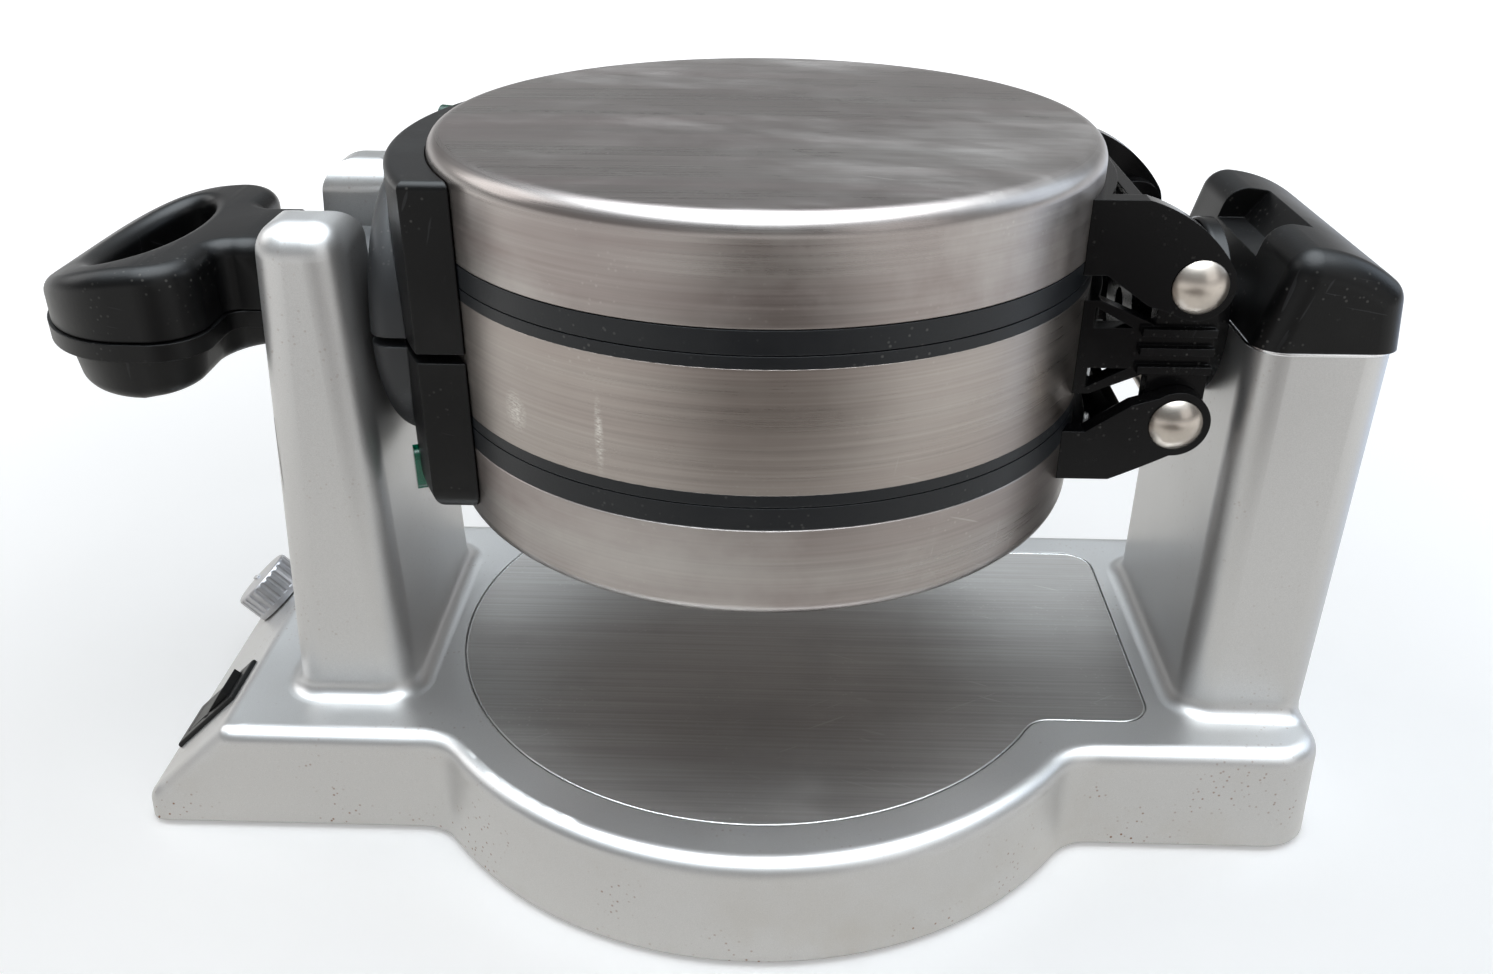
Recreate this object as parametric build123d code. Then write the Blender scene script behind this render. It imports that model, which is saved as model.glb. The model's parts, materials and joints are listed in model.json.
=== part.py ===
from build123d import *
import math
import os

# A rotating double Belgian waffle maker. A stack of two waffle chambers (lid, centre, lid) turns about a
# level axis between a forked front support and a rear post, on a low base. Everything is drawn with the
# stack's vertical axis at x = 0 and the counter at z = 0, and each piece is moved to its place when saved:
# +X points from the handle to the rear post, +Z is up.

os.makedirs("parts", exist_ok=True)

# Stack of plates and lids: radii from the stack's axis, heights from the turning axis
STACK_RADIUS = 103.0
SHEET = 1.5
CENTRE_HALF_HEIGHT = 18.2
CENTRE_TRIM_HEIGHT = 3.5
SEAM_GAP = 0.4
LID_TRIM_HEIGHT = 6.6
LID_TOP = 58.5
LID_EDGE_RADIUS = 6.0
TRIM_WIDTH = 10.0
TRIM_LEDGE = 3.0
TRIM_LIP = 4.5
SEAT_CLEARANCE = 0.1

# Cooking plates
PLATE_FLANGE = 3.8
PLATE_FLOOR = 3.0
CHAMBER_DEPTH = 10.9
BOWL_WALL = 3.5
PLATE_CLEARANCE = 0.4
STUD_HEIGHT = 7.8
STUD_SIZE = 13.0
STUD_TAPER = 10.0
STUD_PITCH = 18.5
STUD_FIRST = 11.0
STUD_COUNT = 4
STUD_MARGIN = 4.5
DIVIDER_WIDTH = 3.2
DIVIDER_HEIGHT = 8.1
HEATER_RADIUS = 58.0
HEATER_ROD = 3.2
HEATER_SWEEP = 320.0
SHIELD_RADIUS = 84.0
SHIELD_SHEET = 1.0
SHIELD_HEIGHT = 9.0

# Turning axis, saddle and neck
AXIS_HEIGHT = 167.5
NECK_RADIUS = 21.0
SADDLE_CLEARANCE = 1.4
HUB_RADIUS = 45.0
HUB_PROUD = 4.9
HUB_CROWN_RADIUS = 450.0
HUB_EDGE_RADIUS = 7.0
HUB_ROOT = 12.0
HALF_GAP = 1.5

# Front blocks that join each lid to its half of the hub
BLOCK_THICKNESS = 12.1
BLOCK_CLEARANCE = 0.4
BLOCK_HALF_WIDTH = 57.0
BLOCK_TOP = 52.0
BLOCK_EDGE_RADIUS = 2.5
LOWER_BLOCK_EDGE_RADIUS = 8.0
LENS_ANGLE = 20.0
LENS_HEIGHT_ABOVE_AXIS = 44.5
LENS_LENGTH = 15.0
LENS_WIDTH = 7.0
LENS_PROUD = 1.8
LENS_DEPTH = 3.0
LENS_CLEARANCE = 0.1

# Handle: an oval loop whose front is half an ellipse, on a short root in front of the neck
HANDLE_ROOT_INSET = 4.8
HANDLE_LENGTH = 76.4
LOOP_FRONT_LENGTH = 38.0
LOOP_BACK_LENGTH = 22.0
LOOP_HALF_WIDTH = 49.0
LOOP_BACK_RADIUS = 15.0
LOOP_ROOT_RADIUS = 5.0
HOLE_HALF_LENGTH = 13.5
HOLE_HALF_WIDTH = 34.0
HOLE_SETBACK = 34.0
HANDLE_SEAM = 0.3
HANDLE_TIP_HEIGHT = 6.5
HANDLE_TOP_HEIGHT = 22.5
HANDLE_TOP_SETBACK = 50.0
HANDLE_DRAFT = 4.0
HANDLE_EDGE_RADIUS = 5.5
HOLE_EDGE_RADIUS = 4.5
HANDLE_LIP_HEIGHT = 5.5
HANDLE_LIP_PROUD = 1.0
HANDLE_LIP_STEP = 3.6
LOWER_HANDLE_DEPTH = 22.0
LOWER_HANDLE_RISE = 12.0
LOWER_EDGE_RADIUS = 5.0
LOWER_HOLE_EDGE_RADIUS = 3.0
ROOT_HALF_WIDTH = 20.0
LOWER_ROOT_HALF_WIDTH = 14.0

# Hinges between the centre and each lid
HINGE_REACH = 23.0
HINGE_PIN_RADIUS = 4.0
HINGE_RUNNING_CLEARANCE = 0.06
PIN_PRESS_CLEARANCE = 0.02
PIN_HEAD_RADIUS = 8.2
PIN_HEAD_HEIGHT = 3.6
PIN_HEAD_GAP = 0.3
CHEEK_THICKNESS = 6.0
CHEEK_OUTER = 46.3
CHEEK_GAP = 0.5
CHEEK_EYE_RADIUS = 10.5
ARM_THICKNESS = 6.0
ARM_EYE_RADIUS = 9.0
BRACKET_FOOT = 3.4
BRACKET_FOOT_LOW = 29.5
BRACKET_TOP = 47.0
LOWER_BRACKET_TOP = 41.0
BRACKET_FLAT = 5.0
BRACKET_SLOPE_X = 20.5
BRACKET_SLOPE_DROP = 7.5
CHEEK_HEEL = 16.0
WEB_DROP = 11.0
WEB_RUN = 9.0
WEB_SHEET = 4.0
WEB_INSET = 1.0
CHEEK_MEET_ANGLE = 30.0
CHEEK_THROAT_REACH = 9.0
CHEEK_THROAT_DROP = 6.0
CHEEK_SEAT_REACH = 4.0
CHEEK_SEAT_RISE = 3.0
CENTRE_FOOT_HALF_HEIGHT = 15.0
RIB_THICKNESS = 2.4
RIB_PITCH = 6.0
RIB_PROUD = 2.6
RIB_START = 10.0
CORE_RADIUS = 16.0
BRACKET_SCREW_SPREAD = 24.0
BRACKET_SCREW_HEIGHT = 33.0
PIVOT_SCREW_SPREAD = 27.0
SCREW_HEAD_RADIUS = 3.4
SCREW_HEAD_HEIGHT = 2.2
BAR_HEIGHT = 13.0
BAR_HEEL = 10.0
STRUT_WIDTH = 5.0
STRUT_HEEL = 8.0
CORE_START = 10.0
CORE_WEB_HALF = 3.0

# Rear pivot
PIVOT_REACH = 18.5
PIVOT_DISC_RADIUS = 28.0
PIVOT_DISC_THICKNESS = 5.5
PIVOT_DISC_GAP = 1.5
SHAFT_RADIUS = 9.0
SHAFT_BORE_RADIUS = 5.0
BEARING_RUNNING_CLEARANCE = 0.06
BEARING_WALL = 2.5
BOSS_WALL = 2.0
BEARING_LENGTH = 7.5
BOSS_LENGTH = 24.0
COLLAR_LENGTH = 5.0
COLLAR_WALL = 4.5
COLLAR_GAP = 0.3

# Base
FOOT_GAP = 1.5
BASE_TOP = 38.3
BASE_TOE = 0.5
BASE_HALF_WIDTH = 73.0
BULGE_MARGIN = 24.6
BASE_DRAFT = 3.0
BASE_EDGE_RADIUS = 6.0
BASE_REAR_CORNER = 18.0
BASE_FRONT_CORNER = 6.0
BULGE_JOIN_RADIUS = 16.0
WALL = 3.5
SLOPE_TOP_REACH = 18.6
SLOPE_LENGTH = 29.5
SLOPE_FOOT_Z = 10.0
SLOPE_FOOT_RADIUS = 6.0
INLAY_MARGIN = 4.8
INLAY_TAB_HALF_WIDTH = 54.0
INLAY_TAB_GAP = 11.5
INLAY_CORNER = 10.0
INLAY_THICKNESS = 1.5
INLAY_GROOVE = 0.8
BOTTOM_COVER_THICKNESS = 2.0
BOTTOM_COVER_CLEARANCE = 0.3
RUBBER_FOOT_RADIUS = 9.0

# Front support and rear post
POST_HALF_WIDTH = 49.5
YOKE_SETBACK = 2.0
YOKE_INNER_LEAN = 3.8
YOKE_FOOT_LENGTH = 41.0
YOKE_TOP_LENGTH = 26.4
YOKE_RISE = 36.0
POST_CORNER_RADIUS = 10.5
POST_TOP_RADIUS = 10.0
POST_FOOT_RADIUS = 6.0
COLUMN_LENGTH = 45.5
COLUMN_REAR_LEAN = 3.0
COLUMN_RISE = 3.5
CAP_FRONT_LEAN = 8.0
CAP_PEAK_RISE = 33.0
CAP_CROWN_RISE = 30.5
CAP_CROWN_SETBACK = 26.0
CAP_TAIL_RISE = 21.5
CAP_TAIL_LEAN = 1.5
CAP_FLANGE = 0.5
CAP_EDGE_RADIUS = 8.0
CAP_WALL = 2.6
CAP_HOLLOW_INSET = 4.6
CAP_ROOF = 5.0
CHANNEL_HALF_WIDTH = 20.0
CHANNEL_FLOOR_RISE = 23.0
CHANNEL_FLOOR_END = 14.0
CHANNEL_SLOPE_END = 21.5

# Controls on the front slope, measured across the width
KNOB_Y = 32.0
KNOB_RADIUS = 12.5
KNOB_HEIGHT = 12.0
KNOB_GAP = 0.6
KNOB_GROOVES = 24
KNOB_GROOVE_RADIUS = 0.9
KNOB_GROOVE_OFFSET = 0.2
KNOB_GROOVE_MIDDLE = 7.5
KNOB_EDGE_RADIUS = 1.5
KNOB_SHAFT_RADIUS = 3.0
KNOB_SHAFT_CLEARANCE = 0.05
KNOB_BUSHING_WALL = 1.5
KNOB_REST_TURN = 135.0
CONTROL_WIDTH = 18.0
CONTROL_DEPTH = 10.0
BOARD_SETBACK = 13.0
BOARD_LENGTH = 40.0
BOARD_HALF_WIDTH = 45.0
BOARD_HEIGHT = 10.0
BOARD_SHEET = 1.6
BOARD_POST_RADIUS = 3.0
BOARD_POST_INSET = 4.0
RELAY_LENGTH = 15.0
RELAY_WIDTH = 20.0
TRANSFORMER_LENGTH = 18.0
TRANSFORMER_WIDTH = 24.0
TRANSFORMER_HEIGHT = 16.4
SOUNDER_RADIUS = 6.0
SOUNDER_INSET = 9.0
SOUNDER_Y = 34.0
SWITCH_Y = -38.0
BEZEL_LENGTH = 32.0
BEZEL_WIDTH = 22.0
BEZEL_PROUD = 1.6
BEZEL_RIM = 2.4
SWITCH_DEPTH = 15.0
SWITCH_WALL = 1.4
ROCKER_CLEARANCE = 0.4
ROCKER_TILT = 7.0
ROCKER_PROUD = 3.0
ROCKER_SKIRT = 2.5
ROCKER_DISH = 1.2
ROCKER_PIVOT_RADIUS = 2.0
ROCKER_PIVOT_CLEARANCE = 0.1
PANEL_CLEARANCE = 0.2
GLAND_HEIGHT = 18.0
GLAND_NECK_RADIUS = 5.5
GLAND_FLANGE_RADIUS = 8.0
GLAND_BORE_RADIUS = 3.2
GLAND_SEAT_DEPTH = 2.0
GLAND_NECK_LENGTH = 7.0

# Values worked out from the driving dimensions
split_plane = CENTRE_HALF_HEIGHT + CENTRE_TRIM_HEIGHT + SEAM_GAP / 2
lid_bottom = split_plane + SEAM_GAP / 2
lid_sheet_bottom = lid_bottom + LID_TRIM_HEIGHT
trim_inner = STACK_RADIUS - TRIM_WIDTH
ledge_inner = trim_inner - TRIM_LEDGE
bowl_outer = ledge_inner - PLATE_CLEARANCE
bowl_inner = bowl_outer - BOWL_WALL
saddle_radius = NECK_RADIUS + SADDLE_CLEARANCE
block_outer = STACK_RADIUS + BLOCK_CLEARANCE + BLOCK_THICKNESS
hub_front = block_outer + HUB_PROUD
yoke_inner_foot = hub_front - YOKE_SETBACK
yoke_inner_top = yoke_inner_foot + YOKE_INNER_LEAN
yoke_front_foot = yoke_inner_foot + YOKE_FOOT_LENGTH
yoke_front_top = yoke_inner_top + YOKE_TOP_LENGTH
yoke_top = AXIS_HEIGHT + YOKE_RISE
handle_root = yoke_front_foot - HANDLE_ROOT_INSET
handle_tip = handle_root + HANDLE_LENGTH
loop_middle = handle_tip - HANDLE_LIP_PROUD - LOOP_FRONT_LENGTH
hinge_x = STACK_RADIUS + HINGE_REACH
column_inner = hinge_x + PIVOT_REACH
column_rear_top = column_inner + COLUMN_LENGTH - COLUMN_REAR_LEAN
column_top = AXIS_HEIGHT + COLUMN_RISE
channel_floor = AXIS_HEIGHT + CHANNEL_FLOOR_RISE
cap_front = column_inner + CAP_FRONT_LEAN
base_rear = column_inner + COLUMN_LENGTH
slope_top = yoke_front_foot + SLOPE_TOP_REACH
slope_foot = slope_top + SLOPE_LENGTH
base_front = slope_foot + BASE_TOE
board_front = slope_top - BOARD_SETBACK
bulge_radius = STACK_RADIUS + BULGE_MARGIN
inlay_radius = STACK_RADIUS + INLAY_MARGIN
inlay_tab_end = column_inner - INLAY_TAB_GAP
cheek_inner = CHEEK_OUTER - CHEEK_THICKNESS
arm_outer = cheek_inner - CHEEK_GAP
arm_inner = arm_outer - ARM_THICKNESS
disc_back = column_inner - PIVOT_DISC_GAP
disc_front = disc_back - PIVOT_DISC_THICKNESS
bearing_outer = SHAFT_RADIUS + BEARING_RUNNING_CLEARANCE + BEARING_WALL
boss_outer = bearing_outer + BOSS_WALL
boss_back = column_inner + BOSS_LENGTH
slope_angle = math.degrees(math.atan2(BASE_TOP - SLOPE_FOOT_Z, slope_foot - slope_top))
slope_mid_x = (slope_foot + slope_top) / 2
slope_mid_z = (BASE_TOP + SLOPE_FOOT_Z) / 2
knob_bore_radius = KNOB_SHAFT_RADIUS + KNOB_SHAFT_CLEARANCE
knob_bushing_radius = knob_bore_radius + KNOB_BUSHING_WALL
switch_inner_length = BEZEL_LENGTH - 2 * BEZEL_RIM - 2 * SWITCH_WALL
switch_inner_width = BEZEL_WIDTH - 2 * BEZEL_RIM - 2 * SWITCH_WALL

# The origin is under the middle of the whole length, from the handle's tip to the rear of the base
STACK_X = (handle_tip - base_rear) / 2
ON_BASE = Pos(STACK_X, 0, 0)
ON_AXIS = Pos(STACK_X, 0, AXIS_HEIGHT)
TURNED_OVER = Rot(180, 0, 0)


def save(name, shape):
    """Write one piece, or a group of like pieces, as its own STEP file."""
    export_step(shape, f"parts/{name}.step")


def side_slab(points, half_width):
    """A slab with the given outline seen from the side, as wide on both sides of the middle."""
    face = Plane.XZ * make_face(Polyline(*points, close=True))
    return extrude(face, amount=half_width, both=True)


def along_x(radius, start, end, y=0.0, z=0.0):
    """A round bar along X between two stations."""
    return Pos((start + end) / 2, y, z) * Rot(0, 90, 0) * Cylinder(radius, end - start)


def along_y(radius, low, high, x, z):
    """A round bar along Y between two stations."""
    return Pos(x, (low + high) / 2, z) * Rot(90, 0, 0) * Cylinder(radius, high - low)


def upright(radius, low, high, x=0.0, y=0.0):
    """A round bar along Z between two heights."""
    return Pos(x, y, (low + high) / 2) * Cylinder(radius, high - low)


def block(low_x, high_x, low_y, high_y, low_z, high_z):
    """A box between two corners."""
    middle = Pos((low_x + high_x) / 2, (low_y + high_y) / 2, (low_z + high_z) / 2)
    return middle * Box(high_x - low_x, high_y - low_y, high_z - low_z)


def turned(points):
    """A solid of revolution about the stack's axis, from an outline of (radius, height) points."""
    return revolve(Plane.XZ * make_face(Polyline(*points, close=True)), Axis.Z)


# Stack: covers, trim rings and cooking plates
def lid_cover():
    """Drawn steel cover, open below, with a rounded rim."""
    outer = upright(STACK_RADIUS, lid_sheet_bottom, LID_TOP)
    outer = fillet(outer.edges().group_by(Axis.Z)[-1], LID_EDGE_RADIUS)
    inner = upright(STACK_RADIUS - SHEET, lid_sheet_bottom, LID_TOP - SHEET)
    inner = fillet(inner.edges().group_by(Axis.Z)[-1], LID_EDGE_RADIUS - SHEET)
    return outer - inner


def trim_ring(face_height, sheet_height):
    """Plastic ring at a seam: its ledge holds a cooking plate and its lip fits inside the steel sheet.

    face_height is the ring's height at the seam and sheet_height the height where the sheet starts.
    """
    away = 1 if sheet_height > face_height else -1
    flange_back = face_height + away * (PLATE_FLANGE + SEAT_CLEARANCE)
    lip_end = sheet_height + away * TRIM_LIP
    lip_outer = STACK_RADIUS - SHEET - SEAT_CLEARANCE
    outline = [
        (trim_inner, face_height),
        (STACK_RADIUS, face_height),
        (STACK_RADIUS, sheet_height),
        (lip_outer, sheet_height),
        (lip_outer, lip_end),
        (ledge_inner, lip_end),
        (ledge_inner, flange_back),
        (trim_inner, flange_back),
    ]
    return turned(outline)


def cooking_plate():
    """Cast waffle plate facing up, its flange's face at z = 0: a bowl with tapered studs in quarters."""
    plate = turned(
        [
            (0, -CHAMBER_DEPTH),
            (bowl_inner - 2, -CHAMBER_DEPTH),
            (bowl_inner, 0),
            (trim_inner - SEAT_CLEARANCE, 0),
            (trim_inner - SEAT_CLEARANCE, -PLATE_FLANGE),
            (bowl_outer, -PLATE_FLANGE),
            (bowl_outer, -CHAMBER_DEPTH - PLATE_FLOOR),
            (0, -CHAMBER_DEPTH - PLATE_FLOOR),
        ]
    )
    stud = extrude(Rectangle(STUD_SIZE, STUD_SIZE), amount=STUD_HEIGHT, taper=STUD_TAPER)
    places = [STUD_FIRST + i * STUD_PITCH for i in range(STUD_COUNT)]
    reach = bowl_inner - STUD_MARGIN
    studs = []
    for x in places:
        for y in places:
            if math.hypot(x + STUD_SIZE / 2, y + STUD_SIZE / 2) < reach:
                for side_x, side_y in ((1, 1), (1, -1), (-1, 1), (-1, -1)):
                    studs.append(Pos(side_x * x, side_y * y, -CHAMBER_DEPTH) * stud)
    ridge = Pos(0, 0, -CHAMBER_DEPTH) * extrude(
        Rectangle(2 * bowl_inner - 4, DIVIDER_WIDTH), amount=DIVIDER_HEIGHT, taper=STUD_TAPER / 2
    )
    ridge = ridge & upright(bowl_inner - 1, -CHAMBER_DEPTH, 0)
    return plate + studs + ridge + Rot(0, 0, 90) * ridge


def heater():
    """Open ring of tubular element that lies against the back of a plate facing up."""
    height = -CHAMBER_DEPTH - PLATE_FLOOR - HEATER_ROD
    section = Plane.XZ * Pos(HEATER_RADIUS, height) * Circle(HEATER_ROD)
    return Rot(0, 0, (360 - HEATER_SWEEP) / 2) * revolve(section, Axis.Z, HEATER_SWEEP)


def heat_shield():
    """Thin dish over the heater, standing on the back of a lid's plate facing up."""
    top = -CHAMBER_DEPTH - PLATE_FLOOR
    return turned(
        [
            (SHIELD_RADIUS - SHIELD_SHEET, top),
            (SHIELD_RADIUS, top),
            (SHIELD_RADIUS, top - SHIELD_HEIGHT),
            (0, top - SHIELD_HEIGHT),
            (0, top - SHIELD_HEIGHT + SHIELD_SHEET),
            (SHIELD_RADIUS - SHIELD_SHEET, top - SHIELD_HEIGHT + SHIELD_SHEET),
        ]
    )


# Front: blocks, hub and handle
def lens_shape(grow, outer_radius, inner_radius):
    """Oblong of the indicator lens between two radii, at its angle on the front block."""
    face = Plane.YZ * SlotOverall(LENS_LENGTH + 2 * grow, LENS_WIDTH + 2 * grow, rotation=90)
    bar = Pos(-outer_radius, 0, LENS_HEIGHT_ABOVE_AXIS) * extrude(face, amount=outer_radius - inner_radius)
    return Rot(0, 0, -LENS_ANGLE) * bar


def front_block(edge_radius):
    """Curved block on the front of a lid, from near the turning axis up beside the cover."""
    ring = upright(block_outer, HALF_GAP, BLOCK_TOP)
    front = ring & block(-block_outer, 0, -BLOCK_HALF_WIDTH, BLOCK_HALF_WIDTH, 0, BLOCK_TOP)
    front = front & block(
        -block_outer, -STACK_RADIUS / 2, -BLOCK_HALF_WIDTH, BLOCK_HALF_WIDTH, 0, BLOCK_TOP
    )
    front = fillet(front.edges().group_by(Axis.Z)[-1], edge_radius)
    front = front - upright(STACK_RADIUS + BLOCK_CLEARANCE, 0, BLOCK_TOP)
    socket = lens_shape(LENS_CLEARANCE, block_outer + 1, block_outer - LENS_DEPTH)
    return front - socket


def indicator_lens():
    """Oblong lamp lens in its socket, a little proud of the block."""
    return lens_shape(0, block_outer + LENS_PROUD, block_outer - LENS_DEPTH)


def hub_half():
    """Upper half of the domed hub and of the neck that lies in the saddle."""
    crown = Pos(-hub_front + HUB_CROWN_RADIUS, 0, 0) * Sphere(HUB_CROWN_RADIUS)
    dome = along_x(HUB_RADIUS, -hub_front - 1, -block_outer + HUB_ROOT) & crown
    dome = fillet(dome.edges().group_by(Axis.X)[0], HUB_EDGE_RADIUS)
    neck = along_x(NECK_RADIUS, -handle_root, -hub_front + 1)
    hub = dome + neck - upright(block_outer, -HUB_RADIUS, HUB_RADIUS)
    return hub & block(-handle_root, 0, -HUB_RADIUS, HUB_RADIUS, HALF_GAP, HUB_RADIUS)


def loop_outline(grow, root_half_width):
    """Plan of the handle: half an ellipse in front, a rounded back and the root towards the neck."""
    half_width = LOOP_HALF_WIDTH + grow
    middle = Pos(-loop_middle, 0)
    oval = middle * (Ellipse(LOOP_FRONT_LENGTH + grow, half_width) & Pos(-half_width, 0) * Rectangle(
        2 * half_width, 2 * half_width
    ))
    back_length = LOOP_BACK_LENGTH + grow
    back = middle * Pos(back_length / 2, 0) * Rectangle(back_length, 2 * half_width)
    back = fillet(back.vertices().group_by(Axis.X)[-1], LOOP_BACK_RADIUS)
    root_start = -loop_middle + LOOP_BACK_LENGTH / 2
    root_end = -handle_root + LOOP_ROOT_RADIUS
    root = Pos((root_start + root_end) / 2, 0) * Rectangle(root_end - root_start, 2 * root_half_width)
    outline = oval + back + root
    joins = outline.vertices().filter_by(
        lambda v: abs(v.X + loop_middle - LOOP_BACK_LENGTH - grow) < 0.01
        and abs(abs(v.Y) - root_half_width) < 0.01
    )
    return fillet(joins, LOOP_ROOT_RADIUS)


def finger_hole(height):
    """The handle's oval hole, up to a height."""
    hole = Pos(-handle_tip + HOLE_SETBACK, 0, 0) * Ellipse(HOLE_HALF_LENGTH, HOLE_HALF_WIDTH)
    return extrude(hole, amount=height)


def on_finger_hole(point):
    """Whether a point lies on the wall of the finger hole."""
    across = (point.X + handle_tip - HOLE_SETBACK) / HOLE_HALF_LENGTH
    along = point.Y / HOLE_HALF_WIDTH
    return abs(math.hypot(across, along) - 1) < 0.001


def top_rim(shape, height):
    """Edges round the top of a handle half above a height, without the straight ones across it."""
    return shape.edges().filter_by(
        lambda e: e.center().Z > height
        and abs(e.tangent_at(0.5).Z) < 0.6
        and not (e.geom_type == GeomType.LINE and abs(e.tangent_at(0.5).Y) > 0.99)
    )


def handle_top_cut():
    """Everything above the handle's crowned top: an arc from the tip to the level part over the root."""
    tip = (-handle_tip, HANDLE_TIP_HEIGHT)
    top = (-handle_tip + HANDLE_TOP_SETBACK, HANDLE_TOP_HEIGHT)
    back = (-handle_root + 2 * LOOP_ROOT_RADIUS, HANDLE_TOP_HEIGHT)
    lid = 2 * HANDLE_TOP_HEIGHT
    ahead = -handle_tip - HANDLE_TIP_HEIGHT
    profile = TangentArc(top, tip, tangent=(-1, 0)) + Line(top, back)
    profile += Polyline(back, (back[0], lid), (ahead, lid), (ahead, 0), tip)
    return extrude(Plane.XZ * make_face(profile), amount=2 * LOOP_HALF_WIDTH, both=True)


def handle_half_upper():
    """Upper half of the handle: a crowned loop round the finger hole, on a root that meets the neck."""
    height = HANDLE_TOP_HEIGHT + 1
    plan = Pos(0, 0, HANDLE_SEAM) * loop_outline(0, ROOT_HALF_WIDTH)
    loop = extrude(plan, amount=height) - handle_top_cut()
    loop = fillet(top_rim(loop, HANDLE_TIP_HEIGHT), HANDLE_EDGE_RADIUS) - finger_hole(height)
    hole_rim = top_rim(loop, HANDLE_TIP_HEIGHT).filter_by(lambda e: on_finger_hole(e @ 0.5))
    loop = fillet(hole_rim, HOLE_EDGE_RADIUS)
    return loop & block(-handle_tip, -handle_root, -LOOP_HALF_WIDTH, LOOP_HALF_WIDTH, 0, height)


def handle_half_lower():
    """Lower half of the handle, drawn upwards: a flat lip at the seam and a smaller rounded shell."""
    lip = extrude(
        Pos(0, 0, HANDLE_SEAM) * loop_outline(HANDLE_LIP_PROUD, ROOT_HALF_WIDTH), amount=HANDLE_LIP_HEIGHT
    )
    plan = Pos(0, 0, HANDLE_SEAM) * loop_outline(HANDLE_LIP_PROUD - HANDLE_LIP_STEP, LOWER_ROOT_HALF_WIDTH)
    shell = extrude(plan, amount=LOWER_HANDLE_DEPTH - HANDLE_SEAM, taper=2 * HANDLE_DRAFT)
    back = -handle_root + 2 * LOOP_ROOT_RADIUS
    shell = shell - side_slab(
        [
            (-loop_middle, LOWER_HANDLE_DEPTH),
            (back, LOWER_HANDLE_RISE),
            (back, 2 * LOWER_HANDLE_DEPTH),
            (-loop_middle, 2 * LOWER_HANDLE_DEPTH),
        ],
        LOOP_HALF_WIDTH,
    )
    shell = fillet(top_rim(shell, HANDLE_TIP_HEIGHT), LOWER_EDGE_RADIUS)
    handle = lip + shell - finger_hole(LOWER_HANDLE_DEPTH + 1)
    hole_rim = top_rim(handle, HANDLE_TIP_HEIGHT).filter_by(lambda e: on_finger_hole(e @ 0.5))
    handle = fillet(hole_rim, LOWER_HOLE_EDGE_RADIUS)
    reach = LOOP_HALF_WIDTH + HANDLE_LIP_PROUD
    return handle & block(-handle_tip, -handle_root, -reach, reach, 0, LOWER_HANDLE_DEPTH)


# Rear: hinge brackets, pins and the pivot
def cheek_outline(top):
    """Side outline of a lid bracket's cheek, from the cover's wall in an arc down to the pin's eye."""
    eye = Pos(hinge_x, split_plane) * Circle(CHEEK_EYE_RADIUS)
    heel = STACK_RADIUS - CHEEK_HEEL
    flat_end = (STACK_RADIUS + BRACKET_FLAT, top)
    slope = (STACK_RADIUS + BRACKET_SLOPE_X, top - BRACKET_SLOPE_DROP)
    meet = math.radians(CHEEK_MEET_ANGLE)
    on_eye = (hinge_x + CHEEK_EYE_RADIUS * math.cos(meet), split_plane + CHEEK_EYE_RADIUS * math.sin(meet))
    edge = ThreePointArc(flat_end, slope, on_eye)
    edge += Polyline(
        on_eye,
        (hinge_x, split_plane),
        (hinge_x, split_plane - CHEEK_EYE_RADIUS),
        (STACK_RADIUS + CHEEK_THROAT_REACH, split_plane - CHEEK_THROAT_DROP),
        (STACK_RADIUS - CHEEK_SEAT_REACH, split_plane + CHEEK_SEAT_RISE),
        (heel, split_plane + CHEEK_SEAT_RISE),
        (heel, top),
        flat_end,
    )
    return eye + make_face(edge)


def hinge_bracket(top):
    """Lid bracket up to a height: a curved foot on the cover's wall, two cheeks and a sloping web."""
    plate = extrude(Plane.XZ * cheek_outline(top), amount=CHEEK_OUTER, both=True)
    gap = block(0, 2 * hinge_x, -cheek_inner, cheek_inner, 0, top)
    cheeks = plate - gap
    foot_ring = upright(STACK_RADIUS + BRACKET_FOOT, BRACKET_FOOT_LOW, top)
    foot = foot_ring & block(0, 2 * hinge_x, -CHEEK_OUTER, CHEEK_OUTER, BRACKET_FOOT_LOW, top)
    web_top = top - WEB_INSET
    web_start = STACK_RADIUS + WEB_INSET
    web = side_slab(
        [
            (web_start, web_top),
            (web_start + WEB_SHEET, web_top),
            (web_start + WEB_SHEET + WEB_RUN, web_top - WEB_DROP),
            (web_start + WEB_RUN, web_top - WEB_DROP),
        ],
        cheek_inner + WEB_INSET,
    )
    bracket = cheeks + foot + web
    bracket = bracket - upright(STACK_RADIUS, 0, top)
    bore = along_y(
        HINGE_PIN_RADIUS + HINGE_RUNNING_CLEARANCE, -CHEEK_OUTER - 1, CHEEK_OUTER + 1, hinge_x, split_plane
    )
    return bracket - bore


def hinge_pin():
    """Hinge pin with a domed head outside each cheek."""
    head_start = CHEEK_OUTER + PIN_HEAD_GAP
    pin = along_y(HINGE_PIN_RADIUS, -head_start - 1, head_start + 1, hinge_x, split_plane)
    rise = PIN_HEAD_HEIGHT
    sphere_radius = (PIN_HEAD_RADIUS**2 + rise**2) / (2 * rise)
    for side in (1, -1):
        ball = Pos(hinge_x, side * (head_start + rise - sphere_radius), split_plane) * Sphere(sphere_radius)
        outer = head_start + rise + 1
        low, high = sorted((side * head_start, side * outer))
        pin = pin + (ball & along_y(PIN_HEAD_RADIUS + 1, low, high, hinge_x, split_plane))
    return pin


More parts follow.
